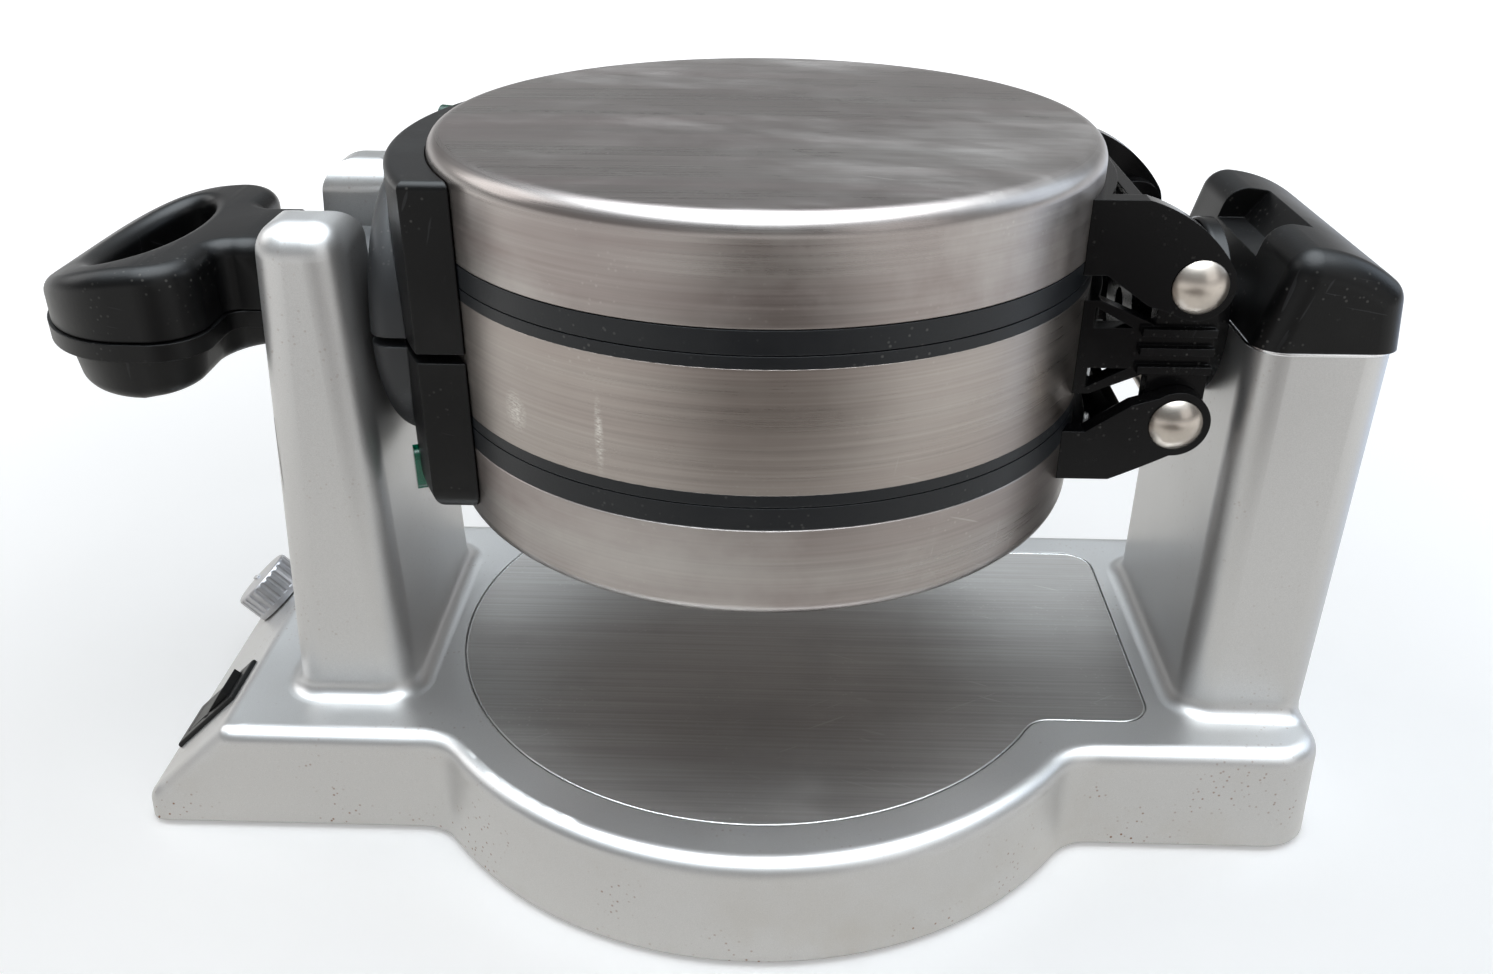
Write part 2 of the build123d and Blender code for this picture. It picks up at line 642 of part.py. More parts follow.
def screw_ring(count, spread, radius, height):
    """Pan-head screws on the outside of a round wall at the rear, spread evenly in angle."""
    screws = []
    for i in range(count):
        angle = spread * (i / (count - 1) - 0.5)
        head = along_x(SCREW_HEAD_RADIUS, radius, radius + SCREW_HEAD_HEIGHT, 0, height)
        head = fillet(head.edges().group_by(Axis.X)[-1], SCREW_HEAD_HEIGHT / 2)
        screws.append(Rot(0, 0, angle) * head)
    return Compound(screws)


def pivot_bracket():
    """Black casting behind the centre band: two pierced arms with the pins' eyes, ribs and a round core."""
    arm = Pos(hinge_x, 0) * (
        Rectangle(2 * ARM_EYE_RADIUS, 2 * split_plane)
        + Pos(0, split_plane) * Circle(ARM_EYE_RADIUS)
        + Pos(0, -split_plane) * Circle(ARM_EYE_RADIUS)
    )
    bar_start = STACK_RADIUS - BAR_HEEL
    bar = Pos((bar_start + hinge_x) / 2, 0) * Rectangle(hinge_x - bar_start, BAR_HEIGHT)
    strut_start = STACK_RADIUS - STRUT_HEEL
    strut_end = hinge_x - STRUT_HEEL
    strut = make_face(
        Polyline(
            (strut_start, -CENTRE_FOOT_HALF_HEIGHT),
            (strut_start + STRUT_WIDTH, -CENTRE_FOOT_HALF_HEIGHT),
            (strut_end + STRUT_WIDTH, -STRUT_WIDTH),
            (strut_end, -STRUT_WIDTH / 2),
            close=True,
        )
    )
    profile = arm + bar + strut + mirror(strut, Plane.XZ)
    arms = extrude(Plane.XZ * profile, amount=arm_outer, both=True)
    arms = arms - block(0, 2 * hinge_x, -arm_inner, arm_inner, -2 * split_plane, 2 * split_plane)
    ribs = []
    rib_start = STACK_RADIUS + RIB_START
    for level in (-1, 0, 1):
        low = level * RIB_PITCH - RIB_THICKNESS / 2
        for side in (-1, 1):
            near, far = sorted((side * (arm_outer - 1), side * (arm_outer + RIB_PROUD)))
            ribs.append(block(rib_start, hinge_x + ARM_EYE_RADIUS, near, far, low, low + RIB_THICKNESS))
    web = block(
        hinge_x - CORE_WEB_HALF,
        hinge_x + CORE_WEB_HALF,
        -arm_inner - 1,
        arm_inner + 1,
        -CORE_RADIUS,
        CORE_RADIUS,
    )
    core = along_x(CORE_RADIUS, hinge_x - CORE_START, disc_front)
    foot_ring = upright(STACK_RADIUS + BRACKET_FOOT, -CENTRE_FOOT_HALF_HEIGHT, CENTRE_FOOT_HALF_HEIGHT)
    foot = foot_ring & block(
        0, 2 * hinge_x, -arm_outer, arm_outer, -CENTRE_FOOT_HALF_HEIGHT, CENTRE_FOOT_HALF_HEIGHT
    )
    bracket = arms + ribs + web + core + foot
    bracket = bracket - upright(STACK_RADIUS, -2 * split_plane, 2 * split_plane)
    for height in (split_plane, -split_plane):
        bracket = bracket - along_y(
            HINGE_PIN_RADIUS + PIN_PRESS_CLEARANCE, -CHEEK_OUTER, CHEEK_OUTER, hinge_x, height
        )
    return bracket - along_x(SHAFT_BORE_RADIUS, hinge_x - 2 * CORE_START, disc_front + 1)


def pivot_shaft():
    """Round disc on the back of the bracket with the hollow shaft that turns in the rear post."""
    disc = along_x(PIVOT_DISC_RADIUS, disc_front, disc_back)
    disc = fillet(disc.edges().group_by(Axis.X)[0], 2.0)
    shaft = along_x(SHAFT_RADIUS, disc_back - 1, boss_back + COLLAR_LENGTH + 2)
    return disc + shaft - along_x(SHAFT_BORE_RADIUS, disc_front - 1, boss_back + COLLAR_LENGTH + 3)


def shaft_sleeve(start, end, clearance, wall):
    """Sleeve on the pivot shaft between two stations: a bearing bush or the retaining collar."""
    outer = along_x(SHAFT_RADIUS + clearance + wall, start, end)
    return outer - along_x(SHAFT_RADIUS + clearance, start - 1, end + 1)


# Base with its front support and rear post in one moulding
def base_outline(grow=0.0):
    """Outline of the base at the counter: front bar, round middle and rear bar."""
    bar_length = base_rear + base_front + 2 * grow
    bar = Pos((base_rear - base_front) / 2, 0) * Rectangle(bar_length, 2 * (BASE_HALF_WIDTH + grow))
    outline = bar + Circle(bulge_radius + grow)
    joins = outline.vertices().filter_by(
        lambda v: abs(v.X) < bulge_radius and abs(abs(v.Y) - BASE_HALF_WIDTH - grow) < 0.01
    )
    outline = fillet(joins, BULGE_JOIN_RADIUS - grow)
    rear = outline.vertices().group_by(Axis.X)[-1]
    outline = fillet(rear, BASE_REAR_CORNER + grow)
    front = outline.vertices().group_by(Axis.X)[0]
    return fillet(front, BASE_FRONT_CORNER)


def slope_cut(inset=0.0):
    """The wedge in front of the front slope, moved inwards by inset for the inner face."""
    rise = math.tan(math.radians(slope_angle))
    foot_x = -slope_foot + inset / math.sin(math.radians(slope_angle))
    ahead = -base_front - BASE_TOP
    outline = [
        (ahead, SLOPE_FOOT_Z + (ahead - foot_x) * rise),
        (foot_x + (2 * BASE_TOP - SLOPE_FOOT_Z) / rise, 2 * BASE_TOP),
        (ahead, 2 * BASE_TOP),
    ]
    return side_slab(outline, bulge_radius)


def front_support():
    """Forked front support: leaning sides, rounded horns and the saddle for the neck."""
    outline = [
        (-yoke_inner_foot, BASE_TOP - WALL),
        (-yoke_inner_top, yoke_top),
        (-yoke_front_top, yoke_top),
        (-yoke_front_foot, BASE_TOP - WALL),
    ]
    fork = side_slab(outline, POST_HALF_WIDTH)
    upright_edges = fork.edges().filter_by(lambda e: abs(e.tangent_at(0.5).Z) > 0.9)
    fork = fillet(upright_edges, POST_CORNER_RADIUS)
    fork = fork - along_x(saddle_radius, -yoke_front_foot - 5, -yoke_inner_foot + 5, 0, AXIS_HEIGHT)
    mouth = block(
        -yoke_front_foot, -yoke_inner_foot, -saddle_radius, saddle_radius, AXIS_HEIGHT, yoke_top + 1
    )
    fork = fork - mouth
    top_faces = fork.faces().filter_by(Axis.Z).group_by(Axis.Z)[-1]
    fork = fillet([edge for face in top_faces for edge in face.edges()], POST_TOP_RADIUS)
    return fork


def rear_column():
    """Rear post up to the seam with its cap."""
    outline = [
        (column_inner, BASE_TOP - WALL),
        (column_inner, column_top),
        (column_rear_top, column_top),
        (base_rear - COLUMN_REAR_LEAN, BASE_TOP - WALL),
    ]
    column = side_slab(outline, POST_HALF_WIDTH)
    upright_edges = column.edges().filter_by(lambda e: abs(e.tangent_at(0.5).Z) > 0.9)
    return fillet(upright_edges, POST_CORNER_RADIUS)


def inlay_outline(grow):
    """Outline of the inlaid steel plate: a circle with a square tab towards the rear post."""
    tab = Pos(inlay_tab_end / 2, 0) * Rectangle(inlay_tab_end + 2 * grow, 2 * (INLAY_TAB_HALF_WIDTH + grow))
    outline = tab + Circle(inlay_radius + grow)
    corners = outline.vertices().group_by(Axis.X)[-1]
    outline = fillet(corners, INLAY_CORNER + grow)
    joins = outline.vertices().filter_by(
        lambda v: v.X < inlay_radius and abs(abs(v.Y) - INLAY_TAB_HALF_WIDTH - grow) < 0.01
    )
    return fillet(joins, INLAY_CORNER - grow)


def slope_place(y, proud=0.0):
    """Place on the middle of the front slope, with local +Z square to it and local +X up the slope."""
    return Pos(-slope_mid_x, y, slope_mid_z) * Rot(0, -slope_angle, 0) * Pos(0, 0, proud)


def base_shell():
    """The silver moulding: base, forked front support and rear post, hollow from below."""
    low = FOOT_GAP
    body = extrude(Pos(0, 0, low) * base_outline(), amount=BASE_TOP - low, taper=BASE_DRAFT)
    body = body - slope_cut()
    foot_edge = body.edges().filter_by(Axis.Y).filter_by(lambda e: abs(e.center().Z - SLOPE_FOOT_Z) < 1)
    body = fillet(foot_edge, SLOPE_FOOT_RADIUS)
    top_edges = body.faces().filter_by(Axis.Z).sort_by(Axis.Z)[-1].edges()
    slope_edge = top_edges.filter_by(Axis.Y).sort_by(Axis.X)[0]
    body = fillet([edge for edge in top_edges if edge.center() != slope_edge.center()], BASE_EDGE_RADIUS)
    body = body + front_support() + rear_column()
    feet = body.edges().filter_by(lambda e: abs(e.center().Z - BASE_TOP) < 0.01 and abs(e.center().Y) < 60)
    inside = [e for e in feet if -yoke_front_foot - 2 < e.center().X < base_rear + 1]
    body = fillet(inside, POST_FOOT_RADIUS)
    hollow = extrude(base_outline(-WALL), amount=BASE_TOP - WALL, taper=BASE_DRAFT) - slope_cut(WALL)
    body = body - hollow
    body = body - block(
        -yoke_front_foot + 8, -yoke_inner_top - WALL, -POST_HALF_WIDTH + WALL, POST_HALF_WIDTH - WALL,
        BASE_TOP - WALL - 1, AXIS_HEIGHT - saddle_radius - WALL,
    )
    body = body - block(
        column_inner + WALL, column_rear_top - WALL, -POST_HALF_WIDTH + WALL, POST_HALF_WIDTH - WALL,
        BASE_TOP - WALL - 1, column_top + 1,
    )
    recess = Pos(0, 0, BASE_TOP - INLAY_THICKNESS) * inlay_outline(INLAY_GROOVE)
    body = body - extrude(recess, amount=INLAY_THICKNESS + 1)
    boss = along_x(boss_outer, column_inner, boss_back, 0, AXIS_HEIGHT)
    body = body + boss
    body = body - along_x(bearing_outer, column_inner - 1, boss_back + 1, 0, AXIS_HEIGHT)
    body = body - along_x(GLAND_NECK_RADIUS, base_rear - 3 * WALL, base_rear + 1, 0, GLAND_HEIGHT)
    gland_seat = GLAND_FLANGE_RADIUS + PANEL_CLEARANCE
    body = body - along_x(gland_seat, base_rear - GLAND_SEAT_DEPTH, base_rear + 1, 0, GLAND_HEIGHT)
    body = body - slope_place(KNOB_Y) * Cylinder(knob_bushing_radius + PANEL_CLEARANCE, 4 * WALL)
    switch_length = BEZEL_LENGTH - 2 * BEZEL_RIM + 2 * PANEL_CLEARANCE
    switch_width = BEZEL_WIDTH - 2 * BEZEL_RIM + 2 * PANEL_CLEARANCE
    return body - slope_place(SWITCH_Y) * Box(switch_length, switch_width, 4 * WALL)


def inlay_plate():
    """Brushed steel plate that lies flush in the top of the base."""
    sketch = Pos(0, 0, BASE_TOP - INLAY_THICKNESS) * inlay_outline(0)
    return extrude(sketch, amount=INLAY_THICKNESS)


def bottom_cover():
    """Flat cover inside the lower rim of the base."""
    sketch = Pos(0, 0, FOOT_GAP) * base_outline(-WALL - BOTTOM_COVER_CLEARANCE)
    return extrude(sketch, amount=BOTTOM_COVER_THICKNESS) - slope_cut(WALL)


def foot_places():
    """Middles of the rubber feet: two at each end and one under each side of the round middle."""
    end_y = BASE_HALF_WIDTH - 2.2 * RUBBER_FOOT_RADIUS
    front_x = -base_front + 3.2 * RUBBER_FOOT_RADIUS
    rear_x = base_rear - 2.4 * RUBBER_FOOT_RADIUS
    ends = [(x, side * end_y) for x in (front_x, rear_x) for side in (-1, 1)]
    return ends + [(0, side * (bulge_radius - 2.2 * RUBBER_FOOT_RADIUS)) for side in (-1, 1)]


def rubber_feet():
    """Rubber feet under the bottom cover; the product stands on them."""
    return Compound([upright(RUBBER_FOOT_RADIUS, 0, FOOT_GAP, x, y) for x, y in foot_places()])


def base_screws():
    """Screws up through the bottom cover into bosses, one beside each foot."""
    screws = []
    for x, y in foot_places():
        inward = -1 if x > 0 else 1
        place_x = x + inward * 2 * RUBBER_FOOT_RADIUS
        head = upright(SCREW_HEAD_RADIUS, FOOT_GAP - 1, FOOT_GAP, place_x, y)
        screws.append(head)
    return Compound(screws)


def cap_outline():
    """Side outline of the rear cap: a front that leans back, then a crown that falls to the tail."""
    front_foot = (column_inner, column_top)
    peak = (cap_front, AXIS_HEIGHT + CAP_PEAK_RISE)
    crown = (column_inner + CAP_CROWN_SETBACK, AXIS_HEIGHT + CAP_CROWN_RISE)
    tail = (column_rear_top - CAP_TAIL_LEAN, AXIS_HEIGHT + CAP_TAIL_RISE)
    outline = Line(front_foot, peak) + ThreePointArc(peak, crown, tail)
    outline += Polyline(tail, (column_rear_top + CAP_FLANGE, column_top), front_foot)
    return make_face(outline)


def rear_cap():
    """Black cap of the rear post, hollow, with a channel between two horns where the lids swing."""
    cap = extrude(Plane.XZ * cap_outline(), amount=POST_HALF_WIDTH + CAP_FLANGE, both=True)
    rounded = cap.edges().filter_by(lambda e: e.center().Z > column_top + CAP_FLANGE)
    cap = fillet(rounded, CAP_EDGE_RADIUS)
    above = AXIS_HEIGHT + CAP_PEAK_RISE
    ahead = column_inner - CAP_EDGE_RADIUS
    channel = side_slab(
        [
            (ahead, channel_floor),
            (column_inner + CHANNEL_FLOOR_END, channel_floor),
            (column_inner + CHANNEL_SLOPE_END, above),
            (ahead, above),
        ],
        CHANNEL_HALF_WIDTH,
    )
    roof = AXIS_HEIGHT - CAP_ROOF
    hollow = side_slab(
        [
            (column_inner + CAP_HOLLOW_INSET, column_top - 1),
            (cap_front + CAP_WALL, channel_floor - CAP_WALL),
            (column_inner + CHANNEL_FLOOR_END, channel_floor - CAP_WALL),
            (column_inner + CHANNEL_SLOPE_END, roof + CAP_CROWN_RISE),
            (column_rear_top - CAP_HOLLOW_INSET, roof + CAP_TAIL_RISE),
            (column_rear_top - CAP_HOLLOW_INSET, column_top - 1),
        ],
        POST_HALF_WIDTH - CAP_WALL,
    )
    cap = cap - channel - hollow
    return cap - along_x(boss_outer + SEAT_CLEARANCE, column_inner - 1, boss_back, 0, AXIS_HEIGHT)


# Controls
def browning_knob():
    """Knurled round knob with a pointer ridge, standing square to the front slope."""
    knob = Pos(0, 0, KNOB_GAP + KNOB_HEIGHT / 2) * Cylinder(KNOB_RADIUS, KNOB_HEIGHT)
    knob = fillet(knob.edges().group_by(Axis.Z)[-1], KNOB_EDGE_RADIUS)
    grooves = []
    for i in range(KNOB_GROOVES):
        at = Rot(0, 0, 360 * i / KNOB_GROOVES) * Pos(KNOB_RADIUS + KNOB_GROOVE_OFFSET, 0, KNOB_GROOVE_MIDDLE)
        grooves.append(at * Cylinder(KNOB_GROOVE_RADIUS, KNOB_HEIGHT - 3))
    knob = knob - grooves
    knob_top = KNOB_HEIGHT + KNOB_GAP
    pointer = block(2, KNOB_RADIUS - 2, -0.8, 0.8, knob_top - 0.5, knob_top + 0.8)
    bore = upright(knob_bore_radius, 0, KNOB_HEIGHT - 2)
    return knob + pointer - bore


def knob_shaft():
    """Shaft of the rotary control, pressed into the knob."""
    return upright(KNOB_SHAFT_RADIUS, -WALL - 4, KNOB_HEIGHT - 3)


def knob_control():
    """Rotary control behind the slope: its body and the bushing that guides the shaft."""
    body = Pos(0, 0, -WALL - CONTROL_DEPTH / 2) * Box(CONTROL_WIDTH, CONTROL_WIDTH, CONTROL_DEPTH)
    bushing = upright(knob_bushing_radius, -WALL - 1, 0)
    return body + bushing - upright(knob_bore_radius, -WALL - CONTROL_DEPTH / 2, 1)


def switch_bezel():
    """Frame of the power switch on the slope, and its body behind."""
    rim = Pos(0, 0, BEZEL_PROUD / 2) * Box(BEZEL_LENGTH, BEZEL_WIDTH, BEZEL_PROUD)
    rim = fillet(rim.edges().group_by(Axis.Z)[-1], 0.8)
    body = Pos(0, 0, -SWITCH_DEPTH / 2) * Box(
        BEZEL_LENGTH - 2 * BEZEL_RIM, BEZEL_WIDTH - 2 * BEZEL_RIM, SWITCH_DEPTH
    )
    well_floor = -SWITCH_DEPTH + 2 * SWITCH_WALL
    well = Pos(0, 0, (BEZEL_PROUD + 1 + well_floor) / 2) * Box(
        switch_inner_length, switch_inner_width, BEZEL_PROUD + 1 - well_floor
    )
    pivot = along_y(
        ROCKER_PIVOT_RADIUS, -BEZEL_WIDTH / 2 + BEZEL_RIM, BEZEL_WIDTH / 2 - BEZEL_RIM, 0, 0
    )
    return rim + body - well + pivot


def rocker_button():
    """Rocker of the power switch, drawn pressed down at its lower end."""
    half = switch_inner_length / 2 - 2 * ROCKER_CLEARANCE
    outline = [
        (-half, -ROCKER_SKIRT),
        (-half, ROCKER_PROUD),
        (0, ROCKER_PROUD - ROCKER_DISH),
        (half, ROCKER_PROUD),
        (half, -ROCKER_SKIRT),
    ]
    rocker = side_slab(outline, switch_inner_width / 2 - ROCKER_CLEARANCE)
    pivot_bore = along_y(
        ROCKER_PIVOT_RADIUS + ROCKER_PIVOT_CLEARANCE, -BEZEL_WIDTH, BEZEL_WIDTH, 0, 0
    )
    return Rot(0, -ROCKER_TILT, 0) * (rocker - pivot_bore)


def control_board():
    """Circuit board in the front bar with its relay, its transformer and the timer's sounder."""
    top = BOARD_HEIGHT + BOARD_SHEET
    board = block(
        -board_front, -board_front + BOARD_LENGTH, -BOARD_HALF_WIDTH, BOARD_HALF_WIDTH, BOARD_HEIGHT, top
    )
    part_front = -board_front + RELAY_LENGTH
    relay = block(part_front, part_front + RELAY_LENGTH, -RELAY_WIDTH, 0, top, top + RELAY_LENGTH)
    transformer = block(
        part_front,
        part_front + TRANSFORMER_LENGTH,
        TRANSFORMER_LENGTH / 2,
        TRANSFORMER_LENGTH / 2 + TRANSFORMER_WIDTH,
        top,
        top + TRANSFORMER_HEIGHT,
    )
    sounder = upright(SOUNDER_RADIUS, top, top + SOUNDER_RADIUS, -board_front + SOUNDER_INSET, -SOUNDER_Y)
    return board + relay + transformer + sounder


def board_posts():
    """Posts on the bottom cover that carry the circuit board."""
    low = FOOT_GAP + BOTTOM_COVER_THICKNESS
    ends = (-board_front + BOARD_POST_INSET, -board_front + BOARD_LENGTH - BOARD_POST_INSET)
    sides = (BOARD_POST_INSET - BOARD_HALF_WIDTH, BOARD_HALF_WIDTH - BOARD_POST_INSET)
    return Compound([upright(BOARD_POST_RADIUS, low, BOARD_HEIGHT, x, y) for x in ends for y in sides])


def cord_gland():
    """Bushed cord inlet low on the back of the base."""
    inner_end = base_rear - GLAND_SEAT_DEPTH - GLAND_NECK_LENGTH
    flange = along_x(GLAND_FLANGE_RADIUS, base_rear - GLAND_SEAT_DEPTH, base_rear, 0, GLAND_HEIGHT)
    neck = along_x(GLAND_NECK_RADIUS, inner_end, base_rear - GLAND_SEAT_DEPTH, 0, GLAND_HEIGHT)
    return flange + neck - along_x(GLAND_BORE_RADIUS, inner_end - 1, base_rear + 1, 0, GLAND_HEIGHT)


lid_pieces = {
    "lid_cover": lid_cover(),
    "lid_trim_ring": trim_ring(lid_bottom, lid_sheet_bottom),
    "lid_plate": Pos(0, 0, lid_bottom) * TURNED_OVER * cooking_plate(),
    "lid_heater": Pos(0, 0, lid_bottom) * TURNED_OVER * heater(),
    "lid_heat_shield": Pos(0, 0, lid_bottom) * TURNED_OVER * heat_shield(),
    "bracket_screws": screw_ring(2, BRACKET_SCREW_SPREAD, STACK_RADIUS + BRACKET_FOOT, BRACKET_SCREW_HEIGHT),
    "indicator_lens": indicator_lens(),
    "hub_half": hub_half(),
}

centre_seam = split_plane - SEAM_GAP / 2
centre_plate = Pos(0, 0, centre_seam) * cooking_plate()
centre_heater = Pos(0, 0, centre_seam) * heater()
centre_trim = trim_ring(centre_seam, CENTRE_HALF_HEIGHT)

on_axis = {f"{name}_upper": shape for name, shape in lid_pieces.items()}
on_axis.update({f"{name}_lower": TURNED_OVER * shape for name, shape in lid_pieces.items()})
on_axis.update(
    {
        "hinge_bracket_upper": hinge_bracket(BRACKET_TOP),
        "hinge_bracket_lower": TURNED_OVER * hinge_bracket(LOWER_BRACKET_TOP),
        "front_block_upper": front_block(BLOCK_EDGE_RADIUS),
        "front_block_lower": TURNED_OVER * front_block(LOWER_BLOCK_EDGE_RADIUS),
        "handle_half_upper": handle_half_upper(),
        "handle_half_lower": TURNED_OVER * handle_half_lower(),
        "centre_band": upright(STACK_RADIUS, -CENTRE_HALF_HEIGHT, CENTRE_HALF_HEIGHT)
        - upright(STACK_RADIUS - SHEET, -STACK_RADIUS, STACK_RADIUS),
        "centre_trim_ring_upper": centre_trim,
        "centre_trim_ring_lower": TURNED_OVER * centre_trim,
        "centre_plate_upper": centre_plate,
        "centre_plate_lower": TURNED_OVER * centre_plate,
        "centre_heater_upper": centre_heater,
        "centre_heater_lower": TURNED_OVER * centre_heater,
        "pivot_bracket": pivot_bracket(),
        "pivot_bracket_screws": screw_ring(3, PIVOT_SCREW_SPREAD, STACK_RADIUS + BRACKET_FOOT, 0),
        "hinge_pin_upper": hinge_pin(),
        "hinge_pin_lower": TURNED_OVER * hinge_pin(),
        "pivot_shaft": pivot_shaft(),
        "shaft_collar": shaft_sleeve(
            boss_back + COLLAR_GAP, boss_back + COLLAR_GAP + COLLAR_LENGTH, PIN_PRESS_CLEARANCE, COLLAR_WALL
        ),
        "shaft_bearing_front": shaft_sleeve(
            column_inner, column_inner + BEARING_LENGTH, BEARING_RUNNING_CLEARANCE, BEARING_WALL
        ),
        "shaft_bearing_rear": shaft_sleeve(
            boss_back - BEARING_LENGTH, boss_back, BEARING_RUNNING_CLEARANCE, BEARING_WALL
        ),
    }
)

on_base = {
    "base_shell": base_shell(),
    "inlay_plate": inlay_plate(),
    "bottom_cover": bottom_cover(),
    "rubber_feet": rubber_feet(),
    "base_screws": base_screws(),
    "rear_cap": rear_cap(),
    "control_board": control_board(),
    "board_posts": board_posts(),
    "cord_gland": cord_gland(),
    "browning_knob": slope_place(KNOB_Y) * Rot(0, 0, KNOB_REST_TURN) * browning_knob(),
    "knob_shaft": slope_place(KNOB_Y) * knob_shaft(),
    "knob_control": slope_place(KNOB_Y) * knob_control(),
    "switch_bezel": slope_place(SWITCH_Y) * switch_bezel(),
    "rocker_button": slope_place(SWITCH_Y) * rocker_button(),
}

for name, shape in on_axis.items():
    save(name, ON_AXIS * shape)
for name, shape in on_base.items():
    save(name, ON_BASE * shape)
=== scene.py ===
"""Rotating double waffle maker: the finished look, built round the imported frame."""

import json
import logging
import math
from collections.abc import Callable, Sequence
from dataclasses import dataclass
from enum import Enum
from functools import partialmethod

import bpy
from mathutils import Matrix, Vector


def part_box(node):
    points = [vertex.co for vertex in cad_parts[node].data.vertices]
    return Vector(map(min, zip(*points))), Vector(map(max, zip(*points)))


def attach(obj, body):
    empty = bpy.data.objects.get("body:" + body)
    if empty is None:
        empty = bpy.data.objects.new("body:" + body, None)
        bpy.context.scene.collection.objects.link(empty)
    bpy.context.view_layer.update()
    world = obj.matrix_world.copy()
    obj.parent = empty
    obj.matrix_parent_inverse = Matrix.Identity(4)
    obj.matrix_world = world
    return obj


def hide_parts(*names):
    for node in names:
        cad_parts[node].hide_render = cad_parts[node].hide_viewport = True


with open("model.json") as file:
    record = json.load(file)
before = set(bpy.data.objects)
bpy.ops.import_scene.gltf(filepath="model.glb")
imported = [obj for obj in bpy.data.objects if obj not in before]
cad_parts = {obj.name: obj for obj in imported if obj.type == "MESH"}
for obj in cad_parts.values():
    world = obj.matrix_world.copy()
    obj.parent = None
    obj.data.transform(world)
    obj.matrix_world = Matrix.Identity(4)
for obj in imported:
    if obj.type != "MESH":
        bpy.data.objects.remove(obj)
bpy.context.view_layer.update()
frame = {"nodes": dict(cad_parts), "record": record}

LOG = logging.getLogger("waffle_maker")
MM = 0.001
# Distances in metres for merging points, and how much of a direction counts as along or across.
WELD = 1e-6
CAD_WELD = 2e-6
FACING = 0.9
ACROSS = 0.1

Point = tuple[float, float, float]
Colour = tuple[float, float, float]
Span = tuple[float, float]
Socket = bpy.types.NodeSocket
Piece = bpy.types.Object
Value = Socket | float

# The levels that most of a noise lies between.
MIDDLE: Span = (0.3, 0.7)


class Direction(Enum):
    """How a sheet was brushed: round its wall, straight along X, or a drawn cup with both."""

    ROUND = "round"
    STRAIGHT = "straight"
    DRAWN = "drawn"


class NodeSheet:
    """A short way to lay out shader nodes and their links."""

    def __init__(self, tree: bpy.types.NodeTree) -> None:
        """Takes the tree that the nodes go into."""
        self.tree = tree

    def feed(self, node: bpy.types.Node, inputs: dict) -> None:
        """Gives a node's inputs their values or links.

        Args:
            node: the node.
            inputs: values or sockets for its inputs, by name or index.
        """
        for key, value in inputs.items():
            if isinstance(value, Socket):
                self.tree.links.new(value, node.inputs[key])
            else:
                node.inputs[key].default_value = value

    def node(self, kind: str, inputs: dict | None = None, **settings: object) -> bpy.types.Node:
        """Adds a node.

        Args:
            kind: the node's type name without its ShaderNode prefix.
            inputs: values or sockets for its inputs, by name or index.
            **settings: the node's own properties.

        Returns:
            The new node.
        """
        node = self.tree.nodes.new("ShaderNode" + kind)
        for key, value in settings.items():
            setattr(node, key, value)
        self.feed(node, inputs or {})
        return node

    def math(self, operation: str, *values: Value) -> Socket:
        """Returns the result of a Math node."""
        return self.node("Math", dict(enumerate(values)), operation=operation).outputs[0]

    # Each of these takes two values and returns the socket of their product, sum or larger one.
    times = partialmethod(math, "MULTIPLY")
    plus = partialmethod(math, "ADD")
    larger = partialmethod(math, "MAXIMUM")

    def length(self, vector: Socket) -> Socket:
        """Returns the length of a vector."""
        return self.node("VectorMath", {0: vector}, operation="LENGTH").outputs["Value"]

    def ramp(self, source: Value, low: float, high: float, start: float = 0.0, end: float = 1.0) -> Socket:
        """Returns source remapped from low..high to start..end, clamped."""
        values = {0: source, 1: low, 2: high, 3: start, 4: end}
        return self.node("MapRange", values, clamp=True).outputs[0]

    def mix(self, factor: Value, first: object, second: object) -> Socket:
        """Returns a colour mixed by factor from first to second, each a colour or a socket."""
        ends = [(*end, 1.0) if isinstance(end, tuple) else end for end in (first, second)]
        return self.node("Mix", {0: factor, 6: ends[0], 7: ends[1]}, data_type="RGBA").outputs[2]

    def layered(self, tone: object, *layers: tuple[Value, object]) -> Socket:
        """Lays colours over another one, in order.

        Args:
            tone: the colour or socket underneath.
            *layers: pairs of a mask and the colour that it lets through.

        Returns:
            The colour with all its layers.
        """
        for mask, colour in layers:
            tone = self.mix(mask, tone, colour)
        return tone

    def noise(self, vector: Socket, scale: Value, detail: float = 2.0, rough: float = 0.5) -> Socket:
        """Returns the height of a noise texture."""
        inputs = {"Vector": vector, "Scale": scale, "Detail": detail, "Roughness": rough}
        return self.node("TexNoise", inputs).outputs[0]

    def stretched(self, vector: Socket, scale: Point, turn: Point = (0, 0, 0)) -> Socket:
        """Returns a vector scaled by its own factor on each axis, after a turn."""
        turned = self.node("Mapping", {"Vector": vector, "Rotation": turn})
        return self.node("Mapping", {"Vector": turned.outputs[0], "Scale": scale}).outputs[0]


